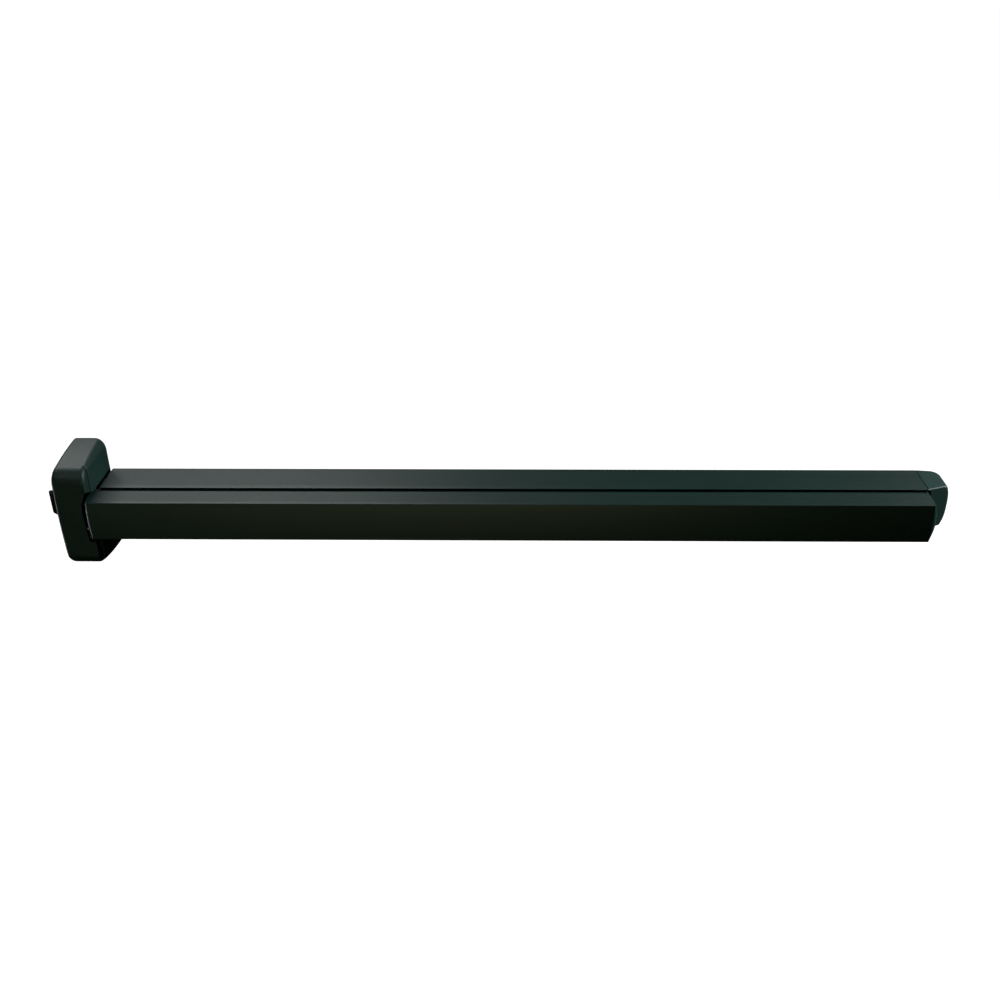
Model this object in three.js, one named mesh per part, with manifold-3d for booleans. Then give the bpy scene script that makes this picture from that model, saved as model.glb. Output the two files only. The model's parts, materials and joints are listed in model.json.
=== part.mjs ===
// A touch-bar panic exit device for a single door, in millimetres, +Z up.
// X runs along the bar with the latch head at -X, the door face is the plane y = 0,
// and the push bar faces -Y. The origin is on the door face at the middle of the rail.
import * as THREE from 'three';
import { mergeVertices } from 'three/addons/utils/BufferGeometryUtils.js';
import Module from 'manifold-3d';

const wasm = await Module();
wasm.setup();

// ---------------------------------------------------------------- driving dimensions
const RAIL_LEFT = -465.8;        // stops short of the head, with a shadow gap between them
const RAIL_RIGHT = 468;
const RAIL_HEIGHT = 52;
const RAIL_DEPTH = 48.2;
const WALL = 2;                  // wall of both extrusions

const BAR_LEFT = -470;           // ends of the push bar's extrusion, without its caps
const BAR_RIGHT = 466.5;
const BAR_HEIGHT = 47;
const BAR_FRONT = -79.5;         // the face that is pushed
const BAR_BACK = -42;            // back edge of its skirts, inside the rail
const BAR_TRAVEL = 13;

const HEAD_LEFT = -506.5;
const HEAD_BULGE = 1.2;          // its left side is crowned by this much at half height
const HEAD_RIGHT = -468.8;
const HEAD_FRONT = -76.5;
const HEAD_TOP = 65.6;           // at the door face
const HEAD_BOTTOM = -69;
const TOP_CROWN = 0.0013;        // the top falls away from the door as TOP_CROWN * y * y
const BOTTOM_CROWN = 0.0019;
const HEAD_NOSE_RADIUS = 16;     // rounding from the crowned top to the front
const COVER_WALL = 2.5;

const END_LEFT = 468.3;          // end cap, which closes the rail's far end
const END_RIGHT = 497.6;
const END_CROWN = 5.2;            // how far its right side falls back towards top and bottom
const END_WALL = 2;
const END_POCKET = 477;          // the push bar's end moves in front of the cap up to here

const CRANK_X = 300;             // one bell crank at -CRANK_X and one at +CRANK_X
const CRANK_Y = -38;
const BAR_ARM = 24.3;            // crank centre to the push bar's pin
const ROD_ARM = 17;              // crank centre to the link rod's pin
const CRANK_SWING = Math.asin(BAR_TRAVEL / 2 / BAR_ARM);
const ROD_TRAVEL = 2 * ROD_ARM * Math.sin(CRANK_SWING);

const LATCH_X = -494;            // the latch turns about this upright axis
const LATCH_Y = -9.5;
const LATCH_ARM = 12.2;          // latch centre to the link rod's pin
const LATCH_SWING = Math.asin(ROD_TRAVEL / 2 / LATCH_ARM);
const LATCH_HALF_HEIGHT = 13.4;
const LATCH_TIP = -531.5;

const ROD_Y = -21;               // middle of the flat link rod
const ROD_WIDTH = 12;
const ROD_THICKNESS = 3;

const PLATE = 2;                 // sheet of the inner brackets
const SEAT_Y = -2.2;             // back of what is fixed on the rail's inner face
const SPRING_Z = 13;             // return springs, above and below the middle
const SPRING_RADIUS = 4.5;
const PIN_PLAY = 0.1;
const SCREW_RADIUS = 1.9;
const SCREW_HOLE = 2.2;
const SCREW_HEAD_RADIUS = 3.6;
const SCREW_HEAD_HEIGHT = 2.3;
const SIDES = 18;                // flats round a pin or a hole

// ---------------------------------------------------------------- materials
function finish(color, roughness, metalness) {
  return new THREE.MeshStandardMaterial({ color, roughness, metalness });
}

const blackCoat = finish(0x1c2624, 0.45, 0.3);
const blackPlastic = finish(0x202a29, 0.6, 0.0);
const zincSteel = finish(0xa9adb0, 0.35, 0.9);
const darkSteel = finish(0x3a3c3e, 0.4, 0.9);
const springSteel = finish(0x8a8d90, 0.3, 1.0);
const nylon = finish(0xe4e2d8, 0.6, 0.0);
const rubber = finish(0x161616, 0.9, 0.0);

// ---------------------------------------------------------------- solids
// A closed geometry as a solid, without the zero-area triangles that a lathe leaves on its axis.
function solid(geometry) {
  geometry.deleteAttribute('normal');
  geometry.deleteAttribute('uv');
  const merged = mergeVertices(geometry, 1e-4);
  const index = merged.index.array;
  const kept = [];
  for (let i = 0; i < index.length; i += 3) {
    const [a, b, c] = [index[i], index[i + 1], index[i + 2]];
    if (a !== b && b !== c && c !== a) kept.push(a, b, c);
  }
  return new wasm.Manifold(new wasm.Mesh({
    numProp: 3,
    vertProperties: new Float32Array(merged.attributes.position.array),
    triVerts: new Uint32Array(kept),
  }));
}

function outline(points) {
  return new THREE.Shape(points.map(([u, v]) => new THREE.Vector2(u, v)));
}

function rectangle(u0, u1, v0, v1) {
  return outline([[u0, v0], [u1, v0], [u1, v1], [u0, v1]]);
}

// Points on an arc (or an ellipse's quarter, when radiusV differs), from one angle to another.
function arc(u, v, radius, fromDegrees, toDegrees, steps = 6, radiusV = radius) {
  const points = [];
  for (let i = 0; i <= steps; i += 1) {
    const angle = THREE.MathUtils.degToRad(fromDegrees + (toDegrees - fromDegrees) * i / steps);
    points.push([u + radius * Math.cos(angle), v + radiusV * Math.sin(angle)]);
  }
  return points;
}

function extruded(shape, depth) {
  return new THREE.ExtrudeGeometry(shape, { depth, bevelEnabled: false });
}

// An outline in (y, z), swept along X.
function alongX(shape, x0, x1) {
  const turn = new THREE.Matrix4().set(0, 0, 1, x0, 1, 0, 0, 0, 0, 1, 0, 0, 0, 0, 0, 1);
  return solid(extruded(shape, x1 - x0).applyMatrix4(turn));
}

// An outline in (x, z), swept along Y.
function alongY(shape, y0, y1) {
  const turn = new THREE.Matrix4().set(1, 0, 0, 0, 0, 0, -1, y1, 0, 1, 0, 0, 0, 0, 0, 1);
  return solid(extruded(shape, y1 - y0).applyMatrix4(turn));
}

// An outline in (x, y), swept along Z.
function alongZ(shape, z0, z1) {
  return solid(extruded(shape, z1 - z0).translate(0, 0, z0));
}

function block(x0, x1, y0, y1, z0, z1) {
  return alongZ(rectangle(x0, x1, y0, y1), z0, z1);
}

// A profile of [radius, height] pairs turned about local Y, then laid along an axis.
function turned(profile, axis, x, y, z, sides = SIDES) {
  const points = profile.map(([r, h]) => new THREE.Vector2(r, h));
  const geometry = new THREE.LatheGeometry(points, sides);
  if (axis === 'x') geometry.rotateZ(-Math.PI / 2);
  if (axis === 'z') geometry.rotateX(Math.PI / 2);
  return solid(geometry.translate(x, y, z));
}

function rod(radius, axis, from, to, x, y, z, sides = SIDES) {
  return turned([[0, from], [radius, from], [radius, to], [0, to]], axis, x, y, z, sides);
}

function ring(inner, outer, axis, from, to, x, y, z, sides = SIDES) {
  const profile = [[inner, from], [outer, from], [outer, to], [inner, to], [inner, from]];
  return turned(profile, axis, x, y, z, sides);
}

function join(...bodies) {
  return bodies.reduce((whole, body) => whole.add(body));
}

function cut(body, ...tools) {
  return tools.reduce((whole, tool) => whole.subtract(tool), body);
}

const model = new THREE.Group();

function place(name, body, material) {
  const raw = body.getMesh();
  const geometry = new THREE.BufferGeometry();
  geometry.setAttribute('position', new THREE.BufferAttribute(new Float32Array(raw.vertProperties), 3));
  geometry.setIndex(new THREE.BufferAttribute(new Uint32Array(raw.triVerts), 1));
  const mesh = new THREE.Mesh(geometry, material);
  mesh.name = name;
  model.add(mesh);
}

// ---------------------------------------------------------------- screws and their places
// Pan-head screws. Those on the back wall stand along Y with the head at headY and end inside
// the wall behind them, so nothing passes the door face.
const SCREW_END_Y = -0.2;

function panHead(radius, height, shankRadius, length) {
  return [[0, length], [shankRadius, length], [shankRadius, 0], [radius, 0],
    [radius, -height * 0.45], [radius * 0.82, -height * 0.85], [radius * 0.4, -height], [0, -height]];
}

function wallScrew(x, z, headY) {
  const profile = panHead(SCREW_HEAD_RADIUS, SCREW_HEAD_HEIGHT, SCREW_RADIUS, SCREW_END_Y - headY);
  return turned(profile.reverse(), 'y', x, headY, z, 16);
}

function wallHole(x, z) {
  return rod(SCREW_HOLE, 'y', -9, 3, x, 0, z, 16);
}

const TONGUE_SCREWS = [[-448, 7], [-448, -7]];
const END_SCREWS = [[444, 10], [444, -10]];
const STOP_X = 420;
const GUIDE_X = 150;
const STOP_STEM = 3;

function crankScrews(centre) {
  return [[centre - 34, 0], [centre + 12, 0]];
}

function guideScrew(centre) {
  return [centre + 13, 0];
}

// ---------------------------------------------------------------- rail and push bar
function baseRail() {
  const top = RAIL_HEIGHT / 2;
  const inner = top - WALL;
  const section = outline([
    [0, -top], [0, top], [-RAIL_DEPTH, top], [-RAIL_DEPTH, inner], [-WALL, inner],
    [-WALL, -inner], [-RAIL_DEPTH, -inner], [-RAIL_DEPTH, -top],
  ]);
  const places = [...TONGUE_SCREWS, ...END_SCREWS];
  for (const side of [-1, 1]) {
    places.push(...crankScrews(side * CRANK_X), guideScrew(side * GUIDE_X));
  }
  const holes = places.map(([x, z]) => wallHole(x, z));
  for (const side of [-1, 1]) holes.push(rod(STOP_STEM, 'y', -4, 2, side * STOP_X, 0, 0, 16));
  return cut(alongX(section, RAIL_LEFT, RAIL_RIGHT), ...holes);
}

// An open channel with two hooked ribs inside the front wall that hold the bar brackets.
const RIB_OUTER = 16.8;
const RIB_LIP = 12.5;
const RIB_BACK = -72.6;
const RIB_SHELF = -74.3;

function halfBarSection(side) {
  const top = BAR_HEIGHT / 2;
  const wallBack = BAR_FRONT + WALL;
  const points = [
    [BAR_FRONT, 0], [BAR_FRONT, top], [BAR_BACK, top], [BAR_BACK, top - WALL], [wallBack, top - WALL],
    [wallBack, RIB_OUTER], [RIB_BACK, RIB_OUTER], [RIB_BACK, RIB_LIP], [RIB_SHELF, RIB_LIP],
    [RIB_SHELF, RIB_OUTER - 1.6], [wallBack, RIB_OUTER - 1.6], [wallBack, 0],
  ];
  return points.map(([y, z]) => [y, side * z]);
}

function pushBar() {
  const section = [...halfBarSection(1).slice(1, -1), ...halfBarSection(-1).slice(1, -1).reverse()];
  return alongX(outline(section), BAR_LEFT, BAR_RIGHT);
}

// A domed end cap with a hollow spigot in the bar. Its bulge beyond the bar's end grows from
// nothing at the front face to the whole dome at the skirts' back edge, and is crowned in height.
const CAP_SPIGOT = 8;

function barCap(end, side, dome, crownDrop) {
  const top = BAR_HEIGHT / 2;
  const away = (distance) => end + side * distance;
  const plan = outline([
    [away(0), BAR_FRONT], [away(0.35 * dome), BAR_FRONT + 0.4], [away(0.62 * dome), BAR_FRONT + 1.3],
    [away(0.8 * dome), BAR_FRONT + 3.5], [away(0.9 * dome), BAR_FRONT + 9],
    [away(0.97 * dome), BAR_FRONT + 20], [away(dome), BAR_BACK], [away(0), BAR_BACK],
  ]);
  const crown = [];
  for (let i = 0; i <= 12; i += 1) {
    const z = -top + BAR_HEIGHT * i / 12;
    crown.push([away(dome - crownDrop * (z / top) ** 2), z]);
  }
  const elevation = outline([...crown, [away(0), top], [away(0), -top]]);
  const domed = alongZ(plan, -top, top).intersect(alongY(elevation, BAR_FRONT - 1, BAR_BACK + 1));
  const inside = top - WALL - 0.25;
  const spigotFront = BAR_FRONT + WALL + 0.25;
  const [x0, x1] = [away(0.5), away(-CAP_SPIGOT)].sort((a, b) => a - b);
  const spigot = cut(
    block(x0, x1, spigotFront, BAR_BACK, -inside, inside),
    block(x0 - 1, x1 + 1, spigotFront + WALL, BAR_BACK + 1, -inside + WALL, inside - WALL),
    block(x0 - 1, x1 + 1, spigotFront - 1, RIB_BACK + 0.4, -RIB_OUTER - 0.4, RIB_OUTER + 0.4),
  );
  return domed.add(spigot.intersect(block(x0, x1, spigotFront, BAR_BACK, -top, top)));
}

// ---------------------------------------------------------------- latch head
// The upper or the lower half of the head seen from its side, rounded into a flat front.
function headHalfSide(height, crown, inset, back) {
  const front = HEAD_FRONT + inset;
  const radius = HEAD_NOSE_RADIUS - inset;
  const centreY = front + radius;
  const edge = (y) => height - inset - crown * y * y;
  const points = [[back, edge(0)]];
  for (const y of [-15, -30, -43, -55]) points.push([y, edge(y)]);
  points.push(...arc(centreY, edge(centreY) - radius, radius, 101, 180, 8));
  return points;
}

function headSide(inset, back) {
  const upper = headHalfSide(HEAD_TOP, TOP_CROWN, inset, back);
  const lower = headHalfSide(-HEAD_BOTTOM, BOTTOM_CROWN, inset, back);
  return outline([...upper, ...lower.map(([y, z]) => [y, -z]).reverse()]);
}

// The head seen from the front: a wide rounding at the rail's side of the top, smaller ones
// elsewhere, and a crowned left side.
function headElevation(inset) {
  const left = HEAD_LEFT + inset;
  const right = HEAD_RIGHT - inset;
  const top = HEAD_TOP + 0.1 - inset;
  const bottom = HEAD_BOTTOM - 0.1 + inset;
  const crown = [];
  for (let z = 40; z > -41; z -= 10) crown.push([left - HEAD_BULGE * (1 - (z / 50) ** 2), z]);
  const small = 3.2 - inset;
  const middle = 6.5 - inset;
  const wide = 10 - inset;
  const tall = 13 - inset;
  return outline([
    ...arc(right - wide, top - tall, wide, 0, 90, 7, tall),
    ...arc(left + middle, top - middle, middle, 90, 180, 5),
    [left, 50], ...crown, [left, -50],
    ...arc(left + middle, bottom + middle, middle, 180, 270, 5),
    ...arc(right - small, bottom + small, small, 270, 360, 4),
  ]);
}

// The head seen from above. The strip in front of STRIP_Y is set back a little on the rail's side.
const STRIP_Y = -64.3;
const STRIP_STEP = 0.8;

function headPlan(inset, back) {
  const left = HEAD_LEFT - HEAD_BULGE + inset;
  const right = HEAD_RIGHT - inset;
  const front = HEAD_FRONT + inset;
  const small = 3 - inset;
  return outline([
    [left, back], ...arc(left + small, front + small, small, 180, 270, 4),
    ...arc(right - STRIP_STEP - small, front + small, small, 270, 360, 4),
    [right - STRIP_STEP, STRIP_Y], [right, STRIP_Y + 0.5], [right, back],
  ]);
}

function headBody(inset, back) {
  return alongX(headSide(inset, back), HEAD_LEFT - HEAD_BULGE - 1, HEAD_RIGHT + 1)
    .intersect(alongY(headElevation(inset), HEAD_FRONT - 1, back))
    .intersect(alongZ(headPlan(inset, back), HEAD_BOTTOM - 1, HEAD_TOP + 1));
}

// The recess that the push bar's end sits and moves in: curved round the bar's cap on the front,
// flared upwards on the side that faces the rail, with an opening of the rail's own outline.
const MOUTH_PLAY = 0.8;

function barRecess() {
  const fromFront = outline([
    [-466, 36], [-471.6, 34], [-474, 31], [-476.6, 24.6], [-478, 14], [-478.4, 2], [-478, -10],
    [-477.2, -22], [-476.6, -27], [-475, -29], [-471.6, -29.4], [-466, -29.4],
  ]);
  const fromSide = outline([
    [-RAIL_DEPTH, 26.4], [-55, 26.6], [-60, 27.7], [-66, 30], [-72, 33], [-78, 36],
    [-78, -29.4], [-66, -28.4], [-RAIL_DEPTH, -26.4],
  ]);
  const flare = alongY(fromFront, -78, -RAIL_DEPTH).intersect(alongX(fromSide, -479, -466));
  const mouth = RAIL_HEIGHT / 2 + MOUTH_PLAY;
  return flare.add(block(-473.5, -466, -RAIL_DEPTH - MOUTH_PLAY, -WALL, -mouth, mouth));
}

const COVER_SCREW_Y = -14;
const COVER_SCREW_Z = 52;

function headCover() {
  const shell = cut(headBody(0, 0), headBody(COVER_WALL, 2));
  const latchWindow = block(HEAD_LEFT - 2, HEAD_LEFT + 5, -54, -29.3, -14.4, 14.4);
  const holes = [-1, 1].map((side) =>
    rod(SCREW_HOLE, 'x', -3, 5, HEAD_LEFT, COVER_SCREW_Y, side * COVER_SCREW_Z, 16));
  return cut(shell, barRecess(), latchWindow, ...holes);
}

// The steel plate behind the head, with a tongue that reaches into the rail and two upright
// tabs for the cover's screws.
const BASE_LEFT = -503.4;
const BASE_RIGHT = -471.6;
const BASE_THICKNESS = 2.5;
const DOOR_SCREW_HOLE = 2.9;
const BRACKET_SCREWS = [[-491.5, 23], [-491.5, -23]];

function headBasePlate() {
  const height = 60;
  const shoulder = 48;
  let plate = alongY(outline([
    [BASE_LEFT, -height], [BASE_RIGHT - 9, -height], [BASE_RIGHT, -shoulder], [BASE_RIGHT, shoulder],
    [BASE_RIGHT - 9, height], [BASE_LEFT, height],
  ]), -BASE_THICKNESS, 0);
  plate = join(plate, block(-479.5, -432, SEAT_Y - PLATE, SEAT_Y, -11.5, 11.5));
  const holes = [...BRACKET_SCREWS, ...TONGUE_SCREWS].map(([x, z]) => wallHole(x, z));
  for (const side of [-1, 1]) {
    const middle = side * COVER_SCREW_Z;
    plate = join(plate, block(BASE_LEFT, BASE_LEFT + 2.5, -21, -1, middle - 6, middle + 6));
    holes.push(rod(1.95, 'x', -2, 5, BASE_LEFT, COVER_SCREW_Y, middle, 16));
    holes.push(rod(DOOR_SCREW_HOLE, 'y', -4, 2, -484, 0, side * 48, 16));
    holes.push(rod(DOOR_SCREW_HOLE, 'y', -4, 2, -484, 0, side * 34, 16));
  }
  return cut(plate, ...holes);
}

// An L-shaped bearing bracket above (side = 1) or below (side = -1) the latch.
const BEARING_Z = 15;

function latchBracket(side) {
  const foot = block(-503, -480, -BASE_THICKNESS - 0.2 - PLATE, -BASE_THICKNESS - 0.2,
    BEARING_Z, BEARING_Z + 14);
  const shelf = alongZ(outline([
    [-503, -BASE_THICKNESS - 0.2], [-503, -24], [-498, -30], [-486, -30], [-480, -20],
    [-480, -BASE_THICKNESS - 0.2],
  ]), BEARING_Z, BEARING_Z + PLATE);
  const upper = cut(join(foot, shelf), rod(3 + PIN_PLAY, 'z', 10, 20, LATCH_X, LATCH_Y, 0));
  const placed = side > 0 ? upper : upper.mirror([0, 0, 1]);
  return cut(placed, wallHole(BRACKET_SCREWS[0][0], side * BRACKET_SCREWS[0][1]));
}

// The latch turns about its pivot pin. Its nose has a flat back that holds behind the strike and a
// bevelled front that rides over it, and its tail is forked round the end of the link rod.
function latchBolt() {
  const face = outline([
    ...arc(LATCH_X, LATCH_Y, 6, -20, 200, 12),
    [-503.2, -26], [-503.2, -31.4], [-508.6, -31.4], [-508.6, -31],
    [LATCH_TIP + 0.8, -31], [LATCH_TIP, -31.8], [LATCH_TIP, -34.6], [LATCH_TIP + 1.8, -37.2],
    [-521, -43.4], [-514.6, -48], [-512, -49], [-509.2, -47.6], [-504.8, -42.8], [-494.6, -29.5],
  ]);
  const rodSlot = rod(25, 'z', -2.2, 2.2, LATCH_X, LATCH_Y, 0, 36);
  const springRoom = rod(8, 'z', -LATCH_HALF_HEIGHT - 1, -6.2, LATCH_X, LATCH_Y, 0, 36);
  const pivotHole = rod(3 + PIN_PLAY, 'z', -20, 20, LATCH_X, LATCH_Y, 0);
  const [pinX, pinY] = latchPinPlace();
  const pinHole = rod(2 + PIN_PLAY, 'z', -20, 20, pinX, pinY, 0);
  return cut(alongZ(face, -LATCH_HALF_HEIGHT, LATCH_HALF_HEIGHT), rodSlot, springRoom, pivotHole, pinHole);
}

function latchPinPlace() {
  return [LATCH_X - LATCH_ARM * Math.sin(LATCH_SWING), LATCH_Y - LATCH_ARM * Math.cos(LATCH_SWING)];
}

// An upright pin with a head on top and a groove for a clip below.
function headedPin(radius, headZ, footZ, x, y) {
  const profile = [
    [0, footZ], [radius, footZ], [radius, footZ + 1.2], [radius - 0.8, footZ + 1.2],
    [radius - 0.8, footZ + 2.2], [radius, footZ + 2.2], [radius, headZ], [radius + 1.6, headZ],
    [radius + 1.6, headZ + 1.4], [0, headZ + 1.4],
  ];
  const points = profile.map(([r, h]) => [r, -h]).reverse();
  return turned(points, 'z', x, y, 0).mirror([0, 0, 1]);
}

// An open retaining ring in a pin's groove.
function pinClip(pinRadius, footZ, x, y) {
  const inner = pinRadius - 0.7;
  const outer = pinRadius + 2.2;
  const face = outline([...arc(x, y, outer, -230, 50, 16), ...arc(x, y, inner, 50, -230, 16)]);
  return alongZ(face, footZ + 1.3, footZ + 2.1);
}

// ---------------------------------------------------------------- linkage
// A sheet arm between two round ends.
function armOutline(hubRadius, tipX, tipY, tipRadius) {
  const direction = THREE.MathUtils.radToDeg(Math.atan2(tipY, tipX));
  return outline([
    ...arc(0, 0, hubRadius, direction + 90, direction + 270, 6),
    ...arc(tipX, tipY, tipRadius, direction - 90, direction + 90, 6),
  ]);
}

// Two sheet plates joined by a hub, one arm towards the head and one towards the door.
// It is drawn at mid-travel, then turned to where it rests.
const CRANK_PLATE_IN = 2.2;
const CRANK_PLATE_OUT = 5.2;
const CRANK_HUB_HALF = 11.5;

function bellCrank(centre) {
  const hub = rod(6.5, 'z', -CRANK_HUB_HALF, CRANK_HUB_HALF, 0, 0, 0);
  const arms = [];
  for (const side of [-1, 1]) {
    const [z0, z1] = [side * CRANK_PLATE_IN, side * CRANK_PLATE_OUT].sort((a, b) => a - b);
    arms.push(alongZ(armOutline(8, -BAR_ARM, 0, 5.5), z0, z1));
    arms.push(alongZ(armOutline(8, 0, ROD_ARM, 5), z0, z1));
  }
  const drawn = cut(
    join(hub, ...arms),
    rod(3 + PIN_PLAY, 'z', -20, 20, 0, 0, 0),
    rod(2.5 + PIN_PLAY, 'z', -20, 20, -BAR_ARM, 0, 0),
    rod(2 + PIN_PLAY, 'z', -20, 20, 0, ROD_ARM, 0),
  );
  return drawn.rotate([0, 0, THREE.MathUtils.radToDeg(CRANK_SWING)]).translate([centre, CRANK_Y, 0]);
}

function barPinPlace(centre) {
  return [centre - BAR_ARM * Math.cos(CRANK_SWING), CRANK_Y - BAR_ARM * Math.sin(CRANK_SWING)];
}

function rodPinPlace(centre) {
  return [centre - ROD_ARM * Math.sin(CRANK_SWING), CRANK_Y + ROD_ARM * Math.cos(CRANK_SWING)];
}

// The U-shaped bracket that carries a crank and the seats of two return springs.
const POST_X = -24;
const CRANK_EAR_IN = 12.6;

function crankBracket(centre) {
  const base = block(centre - 40, centre + 18, SEAT_Y - PLATE, SEAT_Y, -18.5, 18.5);
  const ear = outline([
    [centre - 10, SEAT_Y - 0.5], [centre - 10, -36], ...arc(centre, CRANK_Y, 8, 190, 350, 10),
    [centre + 10, -36], [centre + 10, SEAT_Y - 0.5],
  ]);
  const ears = [-1, 1].map((side) => {
    const [z0, z1] = [side * CRANK_EAR_IN, side * (CRANK_EAR_IN + PLATE)].sort((a, b) => a - b);
    return alongZ(ear, z0, z1);
  });
  const holes = crankScrews(centre).map(([x, z]) => wallHole(x, z));
  holes.push(rod(3 + PIN_PLAY, 'z', -20, 20, centre, CRANK_Y, 0));
  return cut(join(base, ...ears), ...holes);
}

// The bracket inside the push bar: a web held by the bar's ribs, two ears with slots for the
// crank's pin, and two seats for the return springs.
const SPRING_FRONT = -50;

function barBracket(centre) {
  const web = block(centre - 42, centre - 6, -77.2, -74.7, -14.6, 14.6);
  const ear = outline([
    [centre - 34, -75], [centre - 34, -46], [centre - 30, -39.6], [centre - 18, -39.6],
    [centre - 14, -46], [centre - 14, -75],
  ]);
  const parts = [];
  for (const side of [-1, 1]) {
    const [z0, z1] = [side * 6, side * 8].sort((a, b) => a - b);
    const [s0, s1] = [side * 7.5, side * 19].sort((a, b) => a - b);
    parts.push(alongZ(ear, z0, z1));
    parts.push(block(centre - 30, centre - 18, SPRING_FRONT - PLATE, SPRING_FRONT, s0, s1));
  }
  const [pinX, pinY] = barPinPlace(centre);
  const middle = (pinX + centre - BAR_ARM) / 2;
  const half = (pinX - middle) + 0.35;
  const slot = outline([
    ...arc(middle + half, pinY, 2.8, -90, 90, 8), ...arc(middle - half, pinY, 2.8, 90, 270, 8),
  ]);
  return cut(join(web, ...parts), alongZ(slot, -12, 12));
}

// A shouldered post that centres a return spring on the crank's bracket.
function springPost(centre, side) {
  const base = SEAT_Y - PLATE;
  const profile = [[0, 0], [4.2, 0], [4.2, -1], [2.2, -1], [2.2, -24.5], [1.4, -26], [0, -26]];
  return turned(profile.reverse(), 'y', centre + POST_X, base, side * SPRING_Z, 16);
}

function returnSpring(centre, side) {
  const back = SEAT_Y - PLATE - 1.1;
  return ring(3.2, SPRING_RADIUS, 'y', SPRING_FRONT + 0.1, back, centre + POST_X, 0, side * SPRING_Z);
}

// The flat link rod joins both cranks and the latch. Its pin holes are slotted across the rod,
// because the pins swing a little towards and away from the door.
function crossSlot(x, y, pinRadius, play) {
  return outline([
    ...arc(x, y + play, pinRadius + 0.3, 0, 180, 8), ...arc(x, y - play, pinRadius + 0.3, 180, 360, 8),
  ]);
}

function linkRod() {
  const [latchPinX, latchPinY] = latchPinPlace();
  const [farPinX] = rodPinPlace(CRANK_X);
  const [y0, y1] = [ROD_Y - ROD_WIDTH / 2, ROD_Y + ROD_WIDTH / 2];
  const bar = block(latchPinX - 4.9, farPinX + 8, y0, y1, -ROD_THICKNESS / 2, ROD_THICKNESS / 2);
  const latchPlay = LATCH_ARM * (1 - Math.cos(LATCH_SWING)) / 2;
  const crankPlay = ROD_ARM * (1 - Math.cos(CRANK_SWING)) / 2;
  const slots = [crossSlot(latchPinX, latchPinY - latchPlay, 2, latchPlay)];
  for (const side of [-1, 1]) {
    const [x, y] = rodPinPlace(side * CRANK_X);
    slots.push(crossSlot(x, y + crankPlay, 2, crankPlay));
  }
  return cut(bar, ...slots.map((slot) => alongZ(slot, -3, 3)));
}

// A nylon block with a window for the link rod.
function rodGuide(centre) {
  const [screwX, screwZ] = guideScrew(centre);
  const tower = block(centre - 7, centre + 7, -31, SEAT_Y - 1, -9, 9);
  const foot = block(centre - 8, centre + 18, SEAT_Y - 3, SEAT_Y, -9, 9);
  const window = block(centre - 20, centre + 20, ROD_Y - ROD_WIDTH / 2 - 0.5, ROD_Y + ROD_WIDTH / 2 + 0.5,
    -ROD_THICKNESS / 2 - 0.4, ROD_THICKNESS / 2 + 0.4);
  return cut(join(tower, foot), window, wallHole(screwX, screwZ));
}

// A rubber stop: two towers that the bar's skirts meet at full travel, and a stem in the rail.
function rubberStop(centre) {
  const reach = BAR_BACK + BAR_TRAVEL + 0.3;
  const parts = [block(centre - 7, centre + 7, SEAT_Y - 3, SEAT_Y, -23.4, 23.4)];
  for (const side of [-1, 1]) {
    const [z0, z1] = [side * 18.5, side * 23.4].sort((a, b) => a - b);
    parts.push(block(centre - 7, centre + 7, reach, SEAT_Y - 1, z0, z1));
  }
  parts.push(rod(STOP_STEM - 0.2, 'y', SEAT_Y - 1, -0.2, centre, 0, 0, 16));
  return join(...parts);
}

// ---------------------------------------------------------------- far end
// A bent steel bracket: one leaf in the rail, one on the door, and a shelf for the cap's screw.
const END_FRONT = -46.8;         // the cap's front at the rail
const END_TAPER = 0.36;          // how fast its front runs back towards the far side
const CAP_SCREW_X = 481;
const CAP_SCREW_Y = -14;

function endBracket() {
  const inner = block(428, 471, SEAT_Y - 2.5, SEAT_Y, -19, 19);
  const outer = block(468.5, 487, -2.5, 0, -22, 19);
  const shelf = block(474.5, 487, -24, -1, -22, -19.6);
  const holes = END_SCREWS.map(([x, z]) => wallHole(x, z));
  for (const side of [-1, 1]) holes.push(rod(DOOR_SCREW_HOLE, 'y', -4, 2, 480, 0, side * 10, 16));
  holes.push(rod(1.95, 'z', -25, -15, CAP_SCREW_X, CAP_SCREW_Y, 0, 16));
  return cut(join(inner, outer, shelf), ...holes);
}

function endFront(x) {
  return END_FRONT + END_TAPER * (x - END_LEFT);
}

// The cap seen from above: its front runs back from the rail to a small rounded corner, and its
// far corner at the door is wide.
function endPlan(inset, back) {
  const left = END_LEFT - 1 + inset;
  const slope = Math.atan(END_TAPER);
  const frontRadius = 4.4;
  const cornerX = END_RIGHT - frontRadius;
  const cornerY = endFront(cornerX) + frontRadius / Math.cos(slope);
  const wide = 11 - inset;
  return outline([
    [left, back], [left, endFront(left) + inset / Math.cos(slope)],
    ...arc(cornerX, cornerY, frontRadius - inset, 270 + THREE.MathUtils.radToDeg(slope), 360, 4),
    ...arc(END_RIGHT - inset - wide, back - wide, wide, 0, 90, 8),
  ]);
}

// The cap seen from the front: its far side is crowned.
function endElevation(inset) {
  const top = RAIL_HEIGHT / 2 - inset;
  const points = [[END_LEFT - 1, top]];
  for (let i = 0; i <= 12; i += 1) {
    const t = -1 + i / 6;
    points.push([END_RIGHT - inset - END_CROWN * Math.abs(t) ** 3, -t * top]);
  }
  points.push([END_LEFT - 1, -top]);
  return outline(points);
}

function endBody(inset, back) {
  return alongZ(endPlan(inset, back), -RAIL_HEIGHT / 2, RAIL_HEIGHT / 2)
    .intersect(alongY(endElevation(inset), -60, back));
}

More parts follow.
